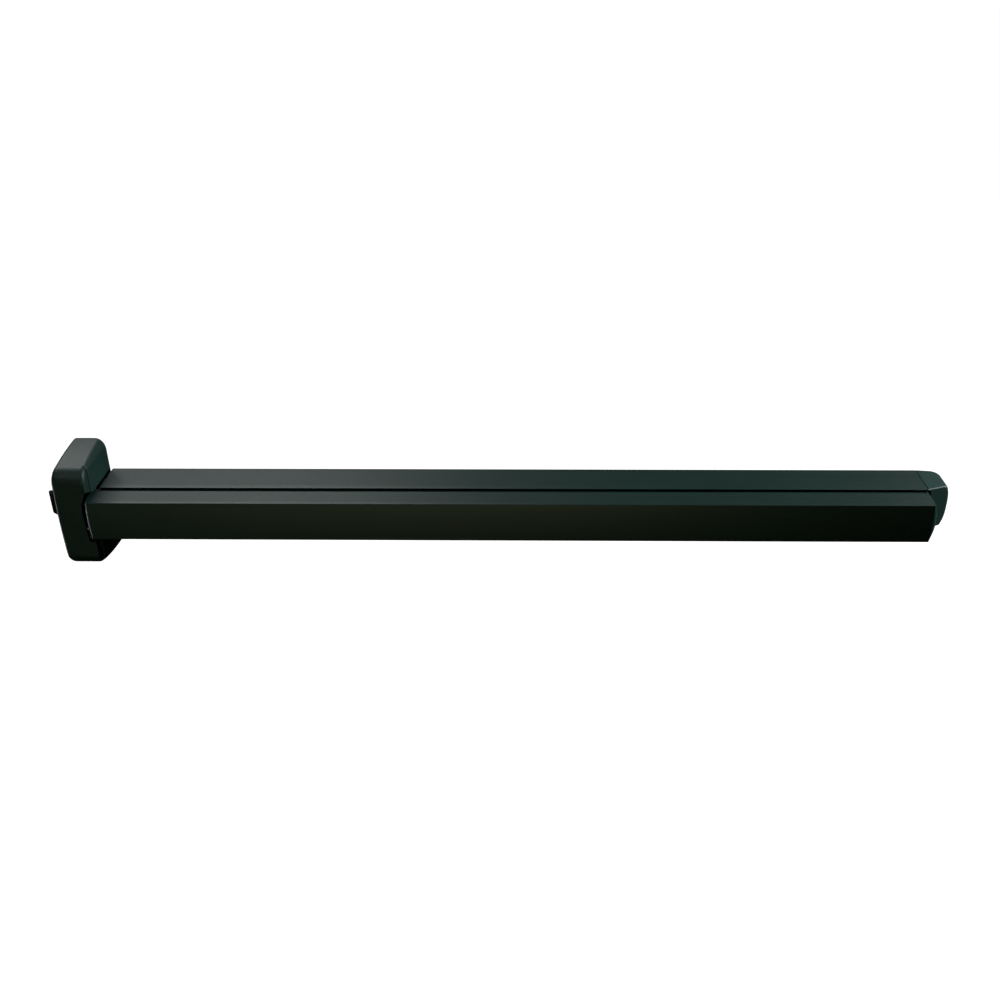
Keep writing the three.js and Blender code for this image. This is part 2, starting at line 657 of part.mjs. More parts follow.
// A plastic cap, open to the rail and to the door, with room for the push bar's end.
function endCap() {
  const half = RAIL_HEIGHT / 2;
  const trimmed = endBody(0, 0).intersect(block(END_LEFT, END_RIGHT + 1, -60, 0, -half, half));
  const pocket = block(END_LEFT - 2, END_POCKET, -60, 2, -half + END_WALL, half - END_WALL);
  const hollow = endBody(END_WALL, 2).add(pocket);
  const screwHole = rod(SCREW_HOLE, 'z', -30, -20, CAP_SCREW_X, CAP_SCREW_Y, 0, 16);
  return cut(trimmed, hollow, screwHole);
}

// ---------------------------------------------------------------- assembly
place('base_rail', baseRail(), blackCoat);
place('push_bar', pushBar(), blackCoat);
place('bar_cap_left', barCap(BAR_LEFT, -1, 6.5, 3.1), blackPlastic);
place('bar_cap_right', barCap(BAR_RIGHT, 1, 7.3, 5), blackPlastic);

place('head_cover', headCover(), blackCoat);
place('head_base_plate', headBasePlate(), zincSteel);
place('latch_bracket_upper', latchBracket(1), zincSteel);
place('latch_bracket_lower', latchBracket(-1), zincSteel);
place('latch_bolt', latchBolt(), darkSteel);
place('latch_pivot_pin', headedPin(3, 17.2, -20.4, LATCH_X, LATCH_Y), springSteel);
place('latch_pin_clip', pinClip(3, -20.4, LATCH_X, LATCH_Y), springSteel);
place('latch_spring', ring(3.7, 5.9, 'z', -13.1, -6.5, LATCH_X, LATCH_Y, 0), springSteel);
const [latchPinX, latchPinY] = latchPinPlace();
place('latch_rod_pin', rod(2, 'z', -13, 13, latchPinX, latchPinY, 0), springSteel);

place('link_rod', linkRod(), zincSteel);
place('end_bracket', endBracket(), zincSteel);
place('end_cap', endCap(), blackPlastic);

for (const [side, hand] of [[-1, 'left'], [1, 'right']]) {
  const centre = side * CRANK_X;
  place(`crank_bracket_${hand}`, crankBracket(centre), zincSteel);
  place(`bar_bracket_${hand}`, barBracket(centre), zincSteel);
  place(`bell_crank_${hand}`, bellCrank(centre), zincSteel);
  place(`crank_pivot_pin_${hand}`, headedPin(3, 14.8, -18, centre, CRANK_Y), springSteel);
  place(`crank_pin_clip_${hand}`, pinClip(3, -18, centre, CRANK_Y), springSteel);
  const [barPinX, barPinY] = barPinPlace(centre);
  place(`crank_bar_pin_${hand}`, rod(2.5, 'z', -8.2, 8.2, barPinX, barPinY, 0), springSteel);
  const [rodPinX, rodPinY] = rodPinPlace(centre);
  place(`crank_rod_pin_${hand}`, rod(2, 'z', -6.4, 6.4, rodPinX, rodPinY, 0), springSteel);
  for (const [up, level] of [[1, 'upper'], [-1, 'lower']]) {
    place(`spring_post_${hand}_${level}`, springPost(centre, up), springSteel);
    place(`return_spring_${hand}_${level}`, returnSpring(centre, up), springSteel);
  }
  crankScrews(centre).forEach(([x, z], i) => {
    place(`crank_screw_${hand}_${i + 1}`, wallScrew(x, z, SEAT_Y - PLATE - 0.05), zincSteel);
  });
  place(`rod_guide_${hand}`, rodGuide(side * GUIDE_X), nylon);
  const [guideX, guideZ] = guideScrew(side * GUIDE_X);
  place(`guide_screw_${hand}`, wallScrew(guideX, guideZ, SEAT_Y - 3.05), zincSteel);
  place(`rubber_stop_${hand}`, rubberStop(side * STOP_X), rubber);
}

for (const [i, level] of ['upper', 'lower'].entries()) {
  const side = i === 0 ? 1 : -1;
  place(`rail_screw_head_${level}`, wallScrew(...TONGUE_SCREWS[i], SEAT_Y - PLATE - 0.05), zincSteel);
  place(`rail_screw_end_${level}`, wallScrew(...END_SCREWS[i], SEAT_Y - 2.55), zincSteel);
  place(`latch_screw_${level}`, wallScrew(...BRACKET_SCREWS[i], -BASE_THICKNESS - 2.25), zincSteel);
  const coverScrew = panHead(3.4, 2, SCREW_RADIUS, 6.4).reverse();
  place(`cover_screw_${level}`, turned(coverScrew, 'x', HEAD_LEFT - 0.05, COVER_SCREW_Y,
    side * COVER_SCREW_Z, 16), darkSteel);
}
const capScrew = panHead(3.4, 1.8, SCREW_RADIUS, 6.6).reverse();
place('end_cap_screw', turned(capScrew, 'z', CAP_SCREW_X, CAP_SCREW_Y,
  -RAIL_HEIGHT / 2 - 0.05, 16), darkSteel);

export default model;
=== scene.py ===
import json
import math

import bmesh
import bpy
from mathutils import Matrix, Vector


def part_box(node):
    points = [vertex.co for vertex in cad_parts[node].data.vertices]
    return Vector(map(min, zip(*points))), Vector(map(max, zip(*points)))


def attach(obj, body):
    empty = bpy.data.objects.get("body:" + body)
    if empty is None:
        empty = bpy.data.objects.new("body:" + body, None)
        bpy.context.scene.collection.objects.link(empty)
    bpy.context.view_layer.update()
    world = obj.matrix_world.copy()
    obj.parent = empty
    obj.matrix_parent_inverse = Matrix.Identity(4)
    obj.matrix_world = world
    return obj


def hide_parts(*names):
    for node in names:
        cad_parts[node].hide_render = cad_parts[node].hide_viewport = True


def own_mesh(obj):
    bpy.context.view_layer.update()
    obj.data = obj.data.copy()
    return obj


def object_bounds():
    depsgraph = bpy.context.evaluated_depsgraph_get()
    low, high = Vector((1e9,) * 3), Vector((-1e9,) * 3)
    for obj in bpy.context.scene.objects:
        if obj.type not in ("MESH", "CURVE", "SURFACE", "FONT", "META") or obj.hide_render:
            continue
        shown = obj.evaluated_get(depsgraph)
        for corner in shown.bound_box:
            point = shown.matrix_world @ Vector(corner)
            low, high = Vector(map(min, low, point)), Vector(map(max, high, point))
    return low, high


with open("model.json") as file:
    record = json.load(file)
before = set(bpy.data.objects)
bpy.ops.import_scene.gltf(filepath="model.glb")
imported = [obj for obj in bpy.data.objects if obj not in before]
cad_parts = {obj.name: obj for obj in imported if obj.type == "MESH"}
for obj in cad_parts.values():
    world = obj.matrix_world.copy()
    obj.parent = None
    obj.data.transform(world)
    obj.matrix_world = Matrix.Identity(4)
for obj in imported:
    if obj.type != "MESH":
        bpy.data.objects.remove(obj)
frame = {"nodes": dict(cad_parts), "record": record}
cad_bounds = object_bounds()

MM = 0.001

# Where the CAD says things are, in metres. The device lies along X, its front faces -Y.
rail_low, rail_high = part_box("base_rail")
bar_low, bar_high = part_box("push_bar")
cap_left_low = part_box("bar_cap_left")[0]
cap_right_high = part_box("bar_cap_right")[1]
head_low, head_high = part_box("head_cover")
end_low, end_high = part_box("end_cap")


# ------------------------------------------------------------------ camera, light and floor
CAMERA_PLACE = (0.0155, -1.1437, 0.6204)
CAMERA_PITCH = 29.05     # degrees below the horizon
CAMERA_YAW = 1.38
CAMERA_ROLL = -0.50
CAMERA_LENS = 39.855     # millimetres on a 36 mm sensor


def turn(degrees, axis):
    return Matrix.Rotation(math.radians(degrees), 4, axis)


def make_camera():
    camera = bpy.data.objects.new("camera", bpy.data.cameras.new("camera"))
    camera.data.lens = CAMERA_LENS
    camera.data.sensor_width = 36
    camera.data.clip_end = 100
    aim = turn(CAMERA_YAW, "Z") @ turn(90 - CAMERA_PITCH, "X") @ turn(CAMERA_ROLL, "Z")
    camera.matrix_world = Matrix.Translation(CAMERA_PLACE) @ aim
    bpy.context.collection.objects.link(camera)
    bpy.context.scene.camera = camera


def area_light(name, place, target, size, watts, colour):
    """A rectangular softbox that faces its target."""
    data = bpy.data.lights.new(name, "AREA")
    data.shape = "RECTANGLE"
    data.size, data.size_y = size
    data.energy = watts
    data.color = colour
    lamp = bpy.data.objects.new(name, data)
    aim = (Vector(target) - Vector(place)).to_track_quat("-Z", "Y")
    lamp.matrix_world = Matrix.Translation(place) @ aim.to_matrix().to_4x4()
    bpy.context.collection.objects.link(lamp)


WHITE = (1.0, 1.0, 1.0)
WARM = (0.94, 1.0, 0.58)   # light that a floor in front of the object would throw back

# The softboxes: name, place, what each one faces (metres), size (metres), power (watts) and
# colour. Those behind the object are mirrored in its upper faces, and those below in its
# upright ones.
SOFTBOXES = (
    ("behind_far_left", (-1.45, 1.05, 1.12), (-0.70, 0.0, 0.0), (0.45, 0.40), 4.3, WHITE),
    ("behind_high_left", (-1.30, 0.80, 1.35), (-0.65, 0.0, 0.0), (0.80, 0.50), 5.3, WHITE),
    ("behind_left", (-0.57, 1.05, 1.12), (-0.28, 0.0, 0.0), (0.50, 0.40), 4.2, WHITE),
    ("behind_right", (1.30, 1.20, 0.85), (0.63, 0.0, 0.0), (0.40, 0.50), 1.1, WHITE),
    ("high_right", (1.90, 0.0, 0.95), (0.48, 0.0, 0.0), (0.30, 0.50), 37.0, WHITE),
    ("front_left", (-0.50, -1.65, -0.45), (-0.25, 0.0, 0.0), (0.80, 0.50), 1.27, WARM),
    ("front", (0.04, -1.65, -0.45), (0.02, 0.0, 0.0), (0.70, 0.50), 2.76, WARM),
    ("below_left", (-1.90, -0.10, -0.65), (-0.50, 0.0, 0.0), (0.90, 0.50), 6.2, WHITE),
    ("below_far_left", (-1.95, -0.65, -0.75), (-0.48, -0.07, 0.0), (0.60, 0.50), 1.2, WHITE),
    ("below_right", (1.90, -0.30, -0.70), (0.48, 0.0, 0.0), (0.90, 0.50), 0.5, WHITE),
    ("near_front_left", (-0.80, -0.55, 0.50), (-0.48, -0.07, 0.03), (0.30, 0.30), 0.37, WHITE),
    ("near_front_top", (-0.45, -0.80, 0.90), (-0.48, -0.07, 0.03), (0.40, 0.30), 0.45, WHITE),
)


def make_lights():
    for softbox in SOFTBOXES:
        area_light(*softbox)
    world = bpy.context.scene.world or bpy.data.worlds.new("world")
    bpy.context.scene.world = world
    world.use_nodes = True
    background = world.node_tree.nodes["Background"]
    background.inputs["Color"].default_value = (0, 0, 0, 1)
    background.inputs["Strength"].default_value = 0.0
    bpy.context.scene.view_settings.view_transform = "Standard"


FLOOR_DROP = 0.30        # how far the floor is below the object
BACKDROP_RADIUS = 30.0


def pale_material(name, shade):
    """Glowing white. shade is the share of the light falling on it that it throws back."""
    material = bpy.data.materials.new(name)
    material.use_nodes = True
    shader = material.node_tree.nodes["Principled BSDF"]
    shader.inputs["Base Color"].default_value = (shade, shade, shade, 1)
    shader.inputs["Roughness"].default_value = 0.9
    shader.inputs["Specular IOR Level"].default_value = 0.0
    shader.inputs["Emission Color"].default_value = (1, 1, 1, 1)
    shader.inputs["Emission Strength"].default_value = 1.0
    return material


def only_seen(obj):
    """The floor and the backdrop are seen, and take shadows, but throw no light on the object."""
    obj.visible_diffuse = False
    obj.visible_glossy = False
    obj.visible_transmission = False


def make_stage():
    level = cad_bounds[0].z - FLOOR_DROP
    bpy.ops.mesh.primitive_plane_add(size=2 * BACKDROP_RADIUS, location=(0, 0, level))
    floor = bpy.context.object
    floor.name = "floor"
    floor.data.materials.append(pale_material("pale_floor", 0.3))
    only_seen(floor)
    bpy.ops.mesh.primitive_uv_sphere_add(segments=48, ring_count=24, radius=BACKDROP_RADIUS)
    backdrop = bpy.context.object
    backdrop.name = "backdrop"
    backdrop.data.materials.append(pale_material("pale_backdrop", 0.0))
    backdrop.visible_shadow = False
    only_seen(backdrop)


# ------------------------------------------------------------------ materials
class Graph:
    """A material's nodes, with short ways to add the ones that repeat."""

    def __init__(self, name):
        self.material = bpy.data.materials.new(name)
        self.material.use_nodes = True
        self.nodes = self.material.node_tree.nodes
        self.links = self.material.node_tree.links
        self.shader = self.nodes["Principled BSDF"]
        self.place = self.nodes.new("ShaderNodeTexCoord").outputs["Object"]

    def put(self, **values):
        for key, value in values.items():
            self.shader.inputs[key.replace("_", " ")].default_value = value

    def noise(self, stretch, detail=3.0, roughness=0.55):
        """Noise with the given number of cells per metre along X, Y and Z."""
        mapping = self.nodes.new("ShaderNodeMapping")
        mapping.inputs["Scale"].default_value = stretch
        noise = self.nodes.new("ShaderNodeTexNoise")
        noise.inputs["Scale"].default_value = 1.0
        noise.inputs["Detail"].default_value = detail
        noise.inputs["Roughness"].default_value = roughness
        self.links.new(self.place, mapping.inputs["Vector"])
        self.links.new(mapping.outputs["Vector"], noise.inputs["Vector"])
        return noise.outputs["Fac"]

    def spread(self, value, low, high, start=0.3, end=0.7):
        """Maps start..end of a value to low..high."""
        node = self.nodes.new("ShaderNodeMapRange")
        node.inputs["From Min"].default_value = start
        node.inputs["From Max"].default_value = end
        node.inputs["To Min"].default_value = low
        node.inputs["To Max"].default_value = high
        self.links.new(value, node.inputs["Value"])
        return node.outputs["Result"]

    def times(self, a, b):
        node = self.nodes.new("ShaderNodeMath")
        node.operation = "MULTIPLY"
        self.links.new(a, node.inputs[0])
        self.links.new(b, node.inputs[1])
        return node.outputs["Value"]

    def blend(self, value, dark, light):
        node = self.nodes.new("ShaderNodeMix")
        node.data_type = "RGBA"
        node.inputs["A"].default_value = (*dark, 1)
        node.inputs["B"].default_value = (*light, 1)
        self.links.new(value, node.inputs["Factor"])
        return node.outputs["Result"]

    def colour(self, socket):
        self.links.new(socket, self.shader.inputs["Base Color"])

    def rough(self, socket):
        self.links.new(socket, self.shader.inputs["Roughness"])

    def bump(self, height, depth, below=None):
        """Bump of the given depth in metres. below is the normal of a coarser bump."""
        node = self.nodes.new("ShaderNodeBump")
        node.inputs["Strength"].default_value = 1.0
        node.inputs["Distance"].default_value = depth
        self.links.new(height, node.inputs["Height"])
        if below is not None:
            self.links.new(below, node.inputs["Normal"])
        self.links.new(node.outputs["Normal"], self.shader.inputs["Normal"])
        return node.outputs["Normal"]


def tint(colour, factor):
    return tuple(channel * factor for channel in colour)


COAT = (0.007, 0.030, 0.025)     # the black-green of everything that shows


def extrusion_material(name, colour, rough):
    """Dark anodised extrusion: die lines along X, and faint cloudiness in the dye."""
    g = Graph(name)
    clouds = g.noise((9, 30, 30), detail=4)
    lines = g.noise((3, 2600, 2600), detail=2, roughness=0.7)
    grain = g.noise((7000, 7000, 7000), detail=2)
    g.colour(g.blend(g.spread(clouds, 0, 1), tint(colour, 0.88), tint(colour, 1.14)))
    g.rough(g.spread(lines, rough - 0.05, rough + 0.05))
    coarse = g.bump(lines, 0.012 * MM)
    g.bump(grain, 0.006 * MM, below=coarse)
    g.put(Metallic=0.0, IOR=1.55)
    return g.material


def powder_material(name, colour, rough):
    """Powder coat: orange peel, a fine grain, and slightly uneven gloss."""
    g = Graph(name)
    peel = g.noise((700, 700, 700), detail=1)
    grain = g.noise((5200, 5200, 5200), detail=3, roughness=0.65)
    clouds = g.noise((24, 24, 24), detail=3)
    g.colour(g.blend(g.spread(clouds, 0, 1), tint(colour, 0.90), tint(colour, 1.12)))
    g.rough(g.spread(grain, rough - 0.06, rough + 0.06))
    coarse = g.bump(peel, 0.03 * MM)
    g.bump(grain, 0.01 * MM, below=coarse)
    g.put(Metallic=0.0, IOR=1.5)
    return g.material


def moulded_material(name, colour, rough):
    """Moulded plastic with a spark-eroded grain."""
    g = Graph(name)
    grain = g.noise((3600, 3600, 3600), detail=4, roughness=0.6)
    clouds = g.noise((40, 40, 40), detail=2)
    g.colour(g.blend(g.spread(clouds, 0, 1), tint(colour, 0.92), tint(colour, 1.10)))
    g.rough(g.spread(grain, rough - 0.05, rough + 0.07))
    g.bump(grain, 0.022 * MM)
    g.put(Metallic=0.0, IOR=1.48)
    return g.material


def plated_material(name, colour, rough):
    """Bright zinc on pressed steel: rolling marks under a slightly cloudy plating."""
    g = Graph(name)
    clouds = g.noise((60, 60, 60), detail=5, roughness=0.6)
    rolling = g.noise((60, 1800, 1800), detail=3)
    g.colour(g.blend(g.spread(clouds, 0, 1), tint(colour, 0.80), tint(colour, 1.08)))
    g.rough(g.spread(g.times(clouds, rolling), rough - 0.08, rough + 0.14, 0.1, 0.45))
    g.bump(rolling, 0.01 * MM)
    g.put(Metallic=1.0)
    return g.material


def cast_material(name, colour, rough):
    """Blackened cast steel, rubbed smoother in patches."""
    g = Graph(name)
    skin = g.noise((1500, 1500, 1500), detail=4, roughness=0.6)
    rubbed = g.noise((90, 90, 90), detail=3)
    g.colour(g.blend(g.spread(rubbed, 0, 1), tint(colour, 0.75), tint(colour, 1.5)))
    g.rough(g.spread(rubbed, rough + 0.12, rough - 0.10))
    g.bump(skin, 0.04 * MM)
    g.put(Metallic=0.0, IOR=1.22)
    return g.material


def turned_material(name, colour, rough):
    """Turned or drawn steel with fine marks round and along it."""
    g = Graph(name)
    marks = g.noise((900, 900, 4200), detail=3)
    stain = g.noise((120, 120, 120), detail=3)
    g.colour(g.blend(g.spread(stain, 0, 1), tint(colour, 0.82), tint(colour, 1.06)))
    g.rough(g.spread(marks, rough - 0.07, rough + 0.10))
    g.bump(marks, 0.008 * MM)
    g.put(Metallic=1.0)
    return g.material


def nylon_material():
    """Natural nylon, a little cloudy and waxy."""
    g = Graph("natural_nylon")
    clouds = g.noise((140, 140, 140), detail=4)
    grain = g.noise((3000, 3000, 3000), detail=2)
    g.colour(g.blend(g.spread(clouds, 0, 1), (0.66, 0.64, 0.57), (0.78, 0.77, 0.72)))
    g.rough(g.spread(clouds, 0.42, 0.55))
    g.bump(grain, 0.02 * MM)
    g.put(Subsurface_Weight=0.15)
    g.shader.inputs["Subsurface Radius"].default_value = (2.0 * MM, 2.0 * MM, 1.5 * MM)
    return g.material


def rubber_material():
    """Moulded rubber with a dusty bloom."""
    g = Graph("black_rubber")
    bloom = g.noise((160, 160, 160), detail=5, roughness=0.65)
    grain = g.noise((2400, 2400, 2400), detail=3)
    g.colour(g.blend(g.spread(bloom, 0, 1), (0.010, 0.010, 0.010), (0.030, 0.029, 0.028)))
    g.rough(g.spread(bloom, 0.80, 0.92))
    g.bump(grain, 0.04 * MM)
    return g.material


MATERIALS = {
    "coated_rail": extrusion_material("rail_coat", COAT, 0.48),
    "coated_bar": extrusion_material("bar_coat", COAT, 0.48),
    "coated_cover": powder_material("cover_coat", tint(COAT, 1.15), 0.50),
    "coated_plastic": moulded_material("cap_plastic", tint(COAT, 1.55), 0.40),
    "zinc_plate": plated_material("zinc_plate", (0.60, 0.62, 0.63), 0.36),
    "zinc_screw": plated_material("zinc_screw", (0.66, 0.67, 0.68), 0.30),
    "black_screw": cast_material("black_screw", (0.05, 0.05, 0.05), 0.42),
    "latch_steel": cast_material("latch_steel", (0.006, 0.008, 0.008), 0.85),
    "pin_steel": turned_material("pin_steel", (0.52, 0.52, 0.53), 0.28),
    "spring_steel": turned_material("spring_steel", (0.36, 0.37, 0.39), 0.32),
    "nylon": nylon_material(),
    "rubber": rubber_material(),
}
SLOT_OF = {row["node"]: row["material_slot"] for row in frame["record"]["subparts"]}
BODY_OF = {}
for body_name, node_names in frame["record"]["behaviour"]["bodies"].items():
    for node_name in node_names:
        BODY_OF[node_name] = body_name


# ------------------------------------------------------------------ mesh tools
SHARP = math.radians(32)     # edges sharper than this are shaded as edges


def weighted_normals(mesh):
    """Normals weighted by face size: roundings shade smoothly and wide faces stay flat."""
    def build(target):
        modifier = target.modifiers.new("normals", "WEIGHTED_NORMAL")
        modifier.keep_sharp = True
        modifier.weight = 80

    return changed(mesh, build)


def finished(name, mesh, node, weighted=True):
    """A piece that stands for a CAD node, with its material, slot and body."""
    mesh.shade_smooth()
    mesh.set_sharp_from_angle(angle=SHARP)
    if weighted:
        mesh = weighted_normals(mesh)
    piece = bpy.data.objects.new(name, mesh)
    bpy.context.collection.objects.link(piece)
    slot = SLOT_OF[node]
    mesh.materials.clear()
    mesh.materials.append(MATERIALS[slot])
    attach(piece, BODY_OF[node])
    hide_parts(node)
    return piece


def mesh_of(name, points, faces):
    mesh = bpy.data.meshes.new(name)
    mesh.from_pydata([tuple(p) for p in points], [], faces)
    outward(mesh)
    return mesh


def outward(mesh):
    """Turns the mesh's faces outwards."""
    bm = bmesh.new()
    bm.from_mesh(mesh)
    bmesh.ops.recalc_face_normals(bm, faces=bm.faces)
    bm.to_mesh(mesh)
    bm.free()


def loft(name, rings):
    """Joins closed rings of equal length in order, and closes both ends."""
    count = len(rings[0])
    points = [p for ring in rings for p in ring]
    faces = []
    for r in range(len(rings) - 1):
        for i in range(count):
            j = (i + 1) % count
            faces.append((r * count + i, r * count + j, (r + 1) * count + j, (r + 1) * count + i))
    faces.append(tuple(range(count)))
    faces.append(tuple(range((len(rings) - 1) * count, len(rings) * count)))
    return mesh_of(name, points, faces)


def changed(mesh, build):
    """The mesh after modifiers that build(object) adds."""
    holder = bpy.data.objects.new("holder", mesh)
    bpy.context.collection.objects.link(holder)
    build(holder)
    graph = bpy.context.evaluated_depsgraph_get()
    result = bpy.data.meshes.new_from_object(holder.evaluated_get(graph))
    bpy.data.objects.remove(holder)
    return result


def carved(mesh, cutters):
    """The mesh without the volume of the cutter meshes."""
    holders = []

    def build(target):
        for i, cutter in enumerate(cutters):
            holder = bpy.data.objects.new(f"cutter_{i}", cutter)
            bpy.context.collection.objects.link(holder)
            holders.append(holder)
            modifier = target.modifiers.new(f"cut_{i}", "BOOLEAN")
            modifier.operation = "DIFFERENCE"
            modifier.solver = "EXACT"
            modifier.object = holder

    result = changed(mesh, build)
    for holder in holders:
        bpy.data.objects.remove(holder)
    return result


def bevelled(mesh, width, segments=2, angle=40):
    """Rounds every edge that is sharper than the angle."""
    def build(target):
        modifier = target.modifiers.new("round", "BEVEL")
        modifier.width = width
        modifier.segments = segments
        modifier.limit_method = "ANGLE"
        modifier.angle_limit = math.radians(angle)
        modifier.use_clamp_overlap = True
        modifier.miter_outer = "MITER_ARC"

    return changed(mesh, build)


def fillet(points, radius, steps=4, radii=None):
    """A closed 2-D outline with rounded corners. radii gives some corners their own radius."""
    rounded = []
    count = len(points)
    for i, corner in enumerate(points):
        r = (radii or {}).get(i, radius)
        corner = Vector(corner)
        if r == 0:
            rounded.append(corner)
            continue
        before = Vector(points[i - 1]) - corner
        after = Vector(points[(i + 1) % count]) - corner
        half = before.angle(after) / 2
        reach = min(r / math.tan(half), 0.49 * before.length, 0.49 * after.length)
        start = corner + before.normalized() * reach
        end = corner + after.normalized() * reach
        for s in range(steps + 1):
            t = s / steps
            rounded.append(start * (1 - t) ** 2 + corner * 2 * t * (1 - t) + end * t ** 2)
    return rounded


def swept_x(name, section, stations):
    """A section of (y, z) points swept along X."""
    return loft(name, [[(x, y, z) for y, z in section] for x in stations])


def cylinder(name, axis, start, end, centre, radius, sides=40):
    """A closed cylinder from start to end along an axis, round a centre on the other two axes."""
    rings = []
    for along in (start, end):
        ring = []
        for i in range(sides):
            angle = 2 * math.pi * i / sides
            u, v = radius * math.cos(angle), radius * math.sin(angle)
            ring.append(on_axis(axis, along, centre[0] + u, centre[1] + v))
        rings.append(ring)
    return loft(name, rings)


def on_axis(axis, along, u, v):
    """A point from its place along an axis and its places on the other two."""
    return {"x": (along, u, v), "y": (u, along, v), "z": (u, v, along)}[axis]


def middle_of(node, axis):
    """The middle of a node's box on the two axes across the given one."""
    low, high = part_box(node)
    middle = (low + high) / 2
    return tuple(middle[i] for i in range(3) if "xyz"[i] != axis)


def box_mesh(name, low, high):
    (x0, y0, z0), (x1, y1, z1) = low, high
    ring = [(y0, z0), (y1, z0), (y1, z1), (y0, z1)]
    return swept_x(name, ring, (x0, x1))


# ------------------------------------------------------------------ rail and push bar
WALL = 2.0 * MM          # of both extrusions
RIB_OUTER, RIB_LIP = 16.8 * MM, 12.5 * MM        # the bar's ribs, from its middle
RIB_BACK, RIB_SHELF, RIB_WALL = 6.9 * MM, 5.2 * MM, 1.6 * MM
HOLE_RADIUS = 2.2 * MM   # clearance for a screw
STEM_RADIUS = 3.0 * MM   # of a rubber stop's stem
LIP_BAND = 5.5 * MM      # the rail's lips slope inwards over this depth,
LIP_DROP = 0.50 * MM     # by this much
LIP_BACK = 1.0 * MM      # and end this much short of the rail's full depth
LIP_UNDERCUT = 1.6 * MM  # they are cut back underneath
BAND = 4.2 * MM          # the bar's top slopes down to its face over this depth,
BAND_DROP = 0.42 * MM    # by this much, and its bottom doesn't
REBATE_START = 2.6 * MM  # this far in front of the rail the bar's skirts step in,
REBATE = 1.2 * MM        # by this much
FACE_CROWN = 0.60 * MM   # the pushing face is slightly convex
FACE_STEPS = 8           # from its middle to its edge
CORNER = 0.3 * MM        # radius on the extrusions' corners
HAND_EDGE = 0.5 * MM     # radius on the bar's upper front edge


def face_y(z):
    """Where the pushing face is at one height."""
    return bar_low.y + FACE_CROWN * (z / bar_high.z) ** 2


def wall_screw_nodes():
    """The screws that go through the rail's wall."""
    names = [n for n in frame["nodes"] if "screw" in n]
    return [n for n in names if not n.startswith(("cover", "end_cap", "latch"))]


def make_rail():
    """Open channel. Its lips slope inwards to the front and are cut back underneath."""
    y0, y1 = rail_low.y + LIP_BACK, rail_high.y
    top = rail_high.z
    inner = top - WALL
    lip = y0 + LIP_BAND
    under = y0 + LIP_UNDERCUT
    section = [
        (y1, -top), (y1, top), (lip, top), (y0, top - LIP_DROP), (under, inner), (y1 - WALL, inner),
        (y1 - WALL, -inner), (under, -inner), (y0, -top + LIP_DROP), (lip, -top),
    ]
    outline = fillet(section, CORNER)
    mesh = swept_x("rail", outline, (rail_low.x, rail_high.x))
    holes = []
    for node in wall_screw_nodes():
        centre = middle_of(node, "y")
        holes.append(cylinder("hole", "y", y1 - 3 * WALL, y1 + WALL, centre, HOLE_RADIUS))
    for node in ("rubber_stop_left", "rubber_stop_right"):
        centre = middle_of(node, "y")
        holes.append(cylinder("hole", "y", y1 - 3 * WALL, y1 + WALL, centre, STEM_RADIUS))
    finished("rail_extrusion", carved(mesh, holes), "base_rail")


def make_push_bar():
    """Channel with hooked ribs inside, a crowned face and skirts that step in behind it."""
    front, back, top = bar_low.y, bar_high.y, bar_high.z
    wall = front + WALL
    step = rail_low.y - REBATE_START
    face = [(face_y(top * i / FACE_STEPS), top * i / FACE_STEPS) for i in range(FACE_STEPS)]
    half = face + [
        (face_y(top), top - BAND_DROP), (front + BAND, top), (step, top), (step, top - REBATE),
        (back, top - REBATE), (back, top - WALL), (wall, top - WALL), (wall, RIB_OUTER),
        (front + RIB_BACK, RIB_OUTER), (front + RIB_BACK, RIB_LIP), (front + RIB_SHELF, RIB_LIP),
        (front + RIB_SHELF, RIB_OUTER - RIB_WALL), (wall, RIB_OUTER - RIB_WALL),
    ]
    lower = [(y, -z) for y, z in reversed(half[1:])]
    section = half + lower
    edge = len(face)
    foot = len(section) - edge
    section[foot] = (face_y(top), -top)
    soft = {i: 0.0 for i in range(edge)} | {i: 0.0 for i in range(foot + 1, len(section))}
    soft |= {edge: HAND_EDGE, foot: CORNER}
    outline = fillet(section, CORNER, radii=soft)
    mesh = swept_x("bar", outline, (bar_low.x, bar_high.x))
    finished("push_bar_extrusion", mesh, "push_bar")


# ------------------------------------------------------------------ push bar's end caps
CAP_CROWN_LEFT = 2.0 * MM    # how far each dome falls back towards its top and bottom
CAP_CROWN_RIGHT = 6.0 * MM
CAP_SPIGOT = 8 * MM      # how far the spigot reaches into the bar,
SPIGOT_ROOT = 0.5 * MM   # and how far inside the dome it starts
SPIGOT_EDGE = 0.3 * MM
CAP_LAP = 0.3 * MM       # how far inside the bar's end the dome starts
CAP_EDGE = 0.9 * MM      # rounding of the dome into its top and bottom
CAP_FRONT_EDGE = 0.5 * MM    # and of its front into them
SPIGOT_PLAY = 0.25 * MM  # inside the bar
RELIEF_PLAY = 0.4 * MM   # round the bar's ribs


def pinch(depth, radius):
    """How far an edge of the given radius draws a side in, at a depth behind the edge."""
    past = max(0.0, radius - depth)
    return radius - math.sqrt(max(0.0, radius ** 2 - past ** 2))


def cap_bulge(t):
    """Share of the dome reached at a share t of the depth behind the front face."""
    return 0.9 * (1 - (1 - t) ** 11) ** 0.44 + 0.1 * t


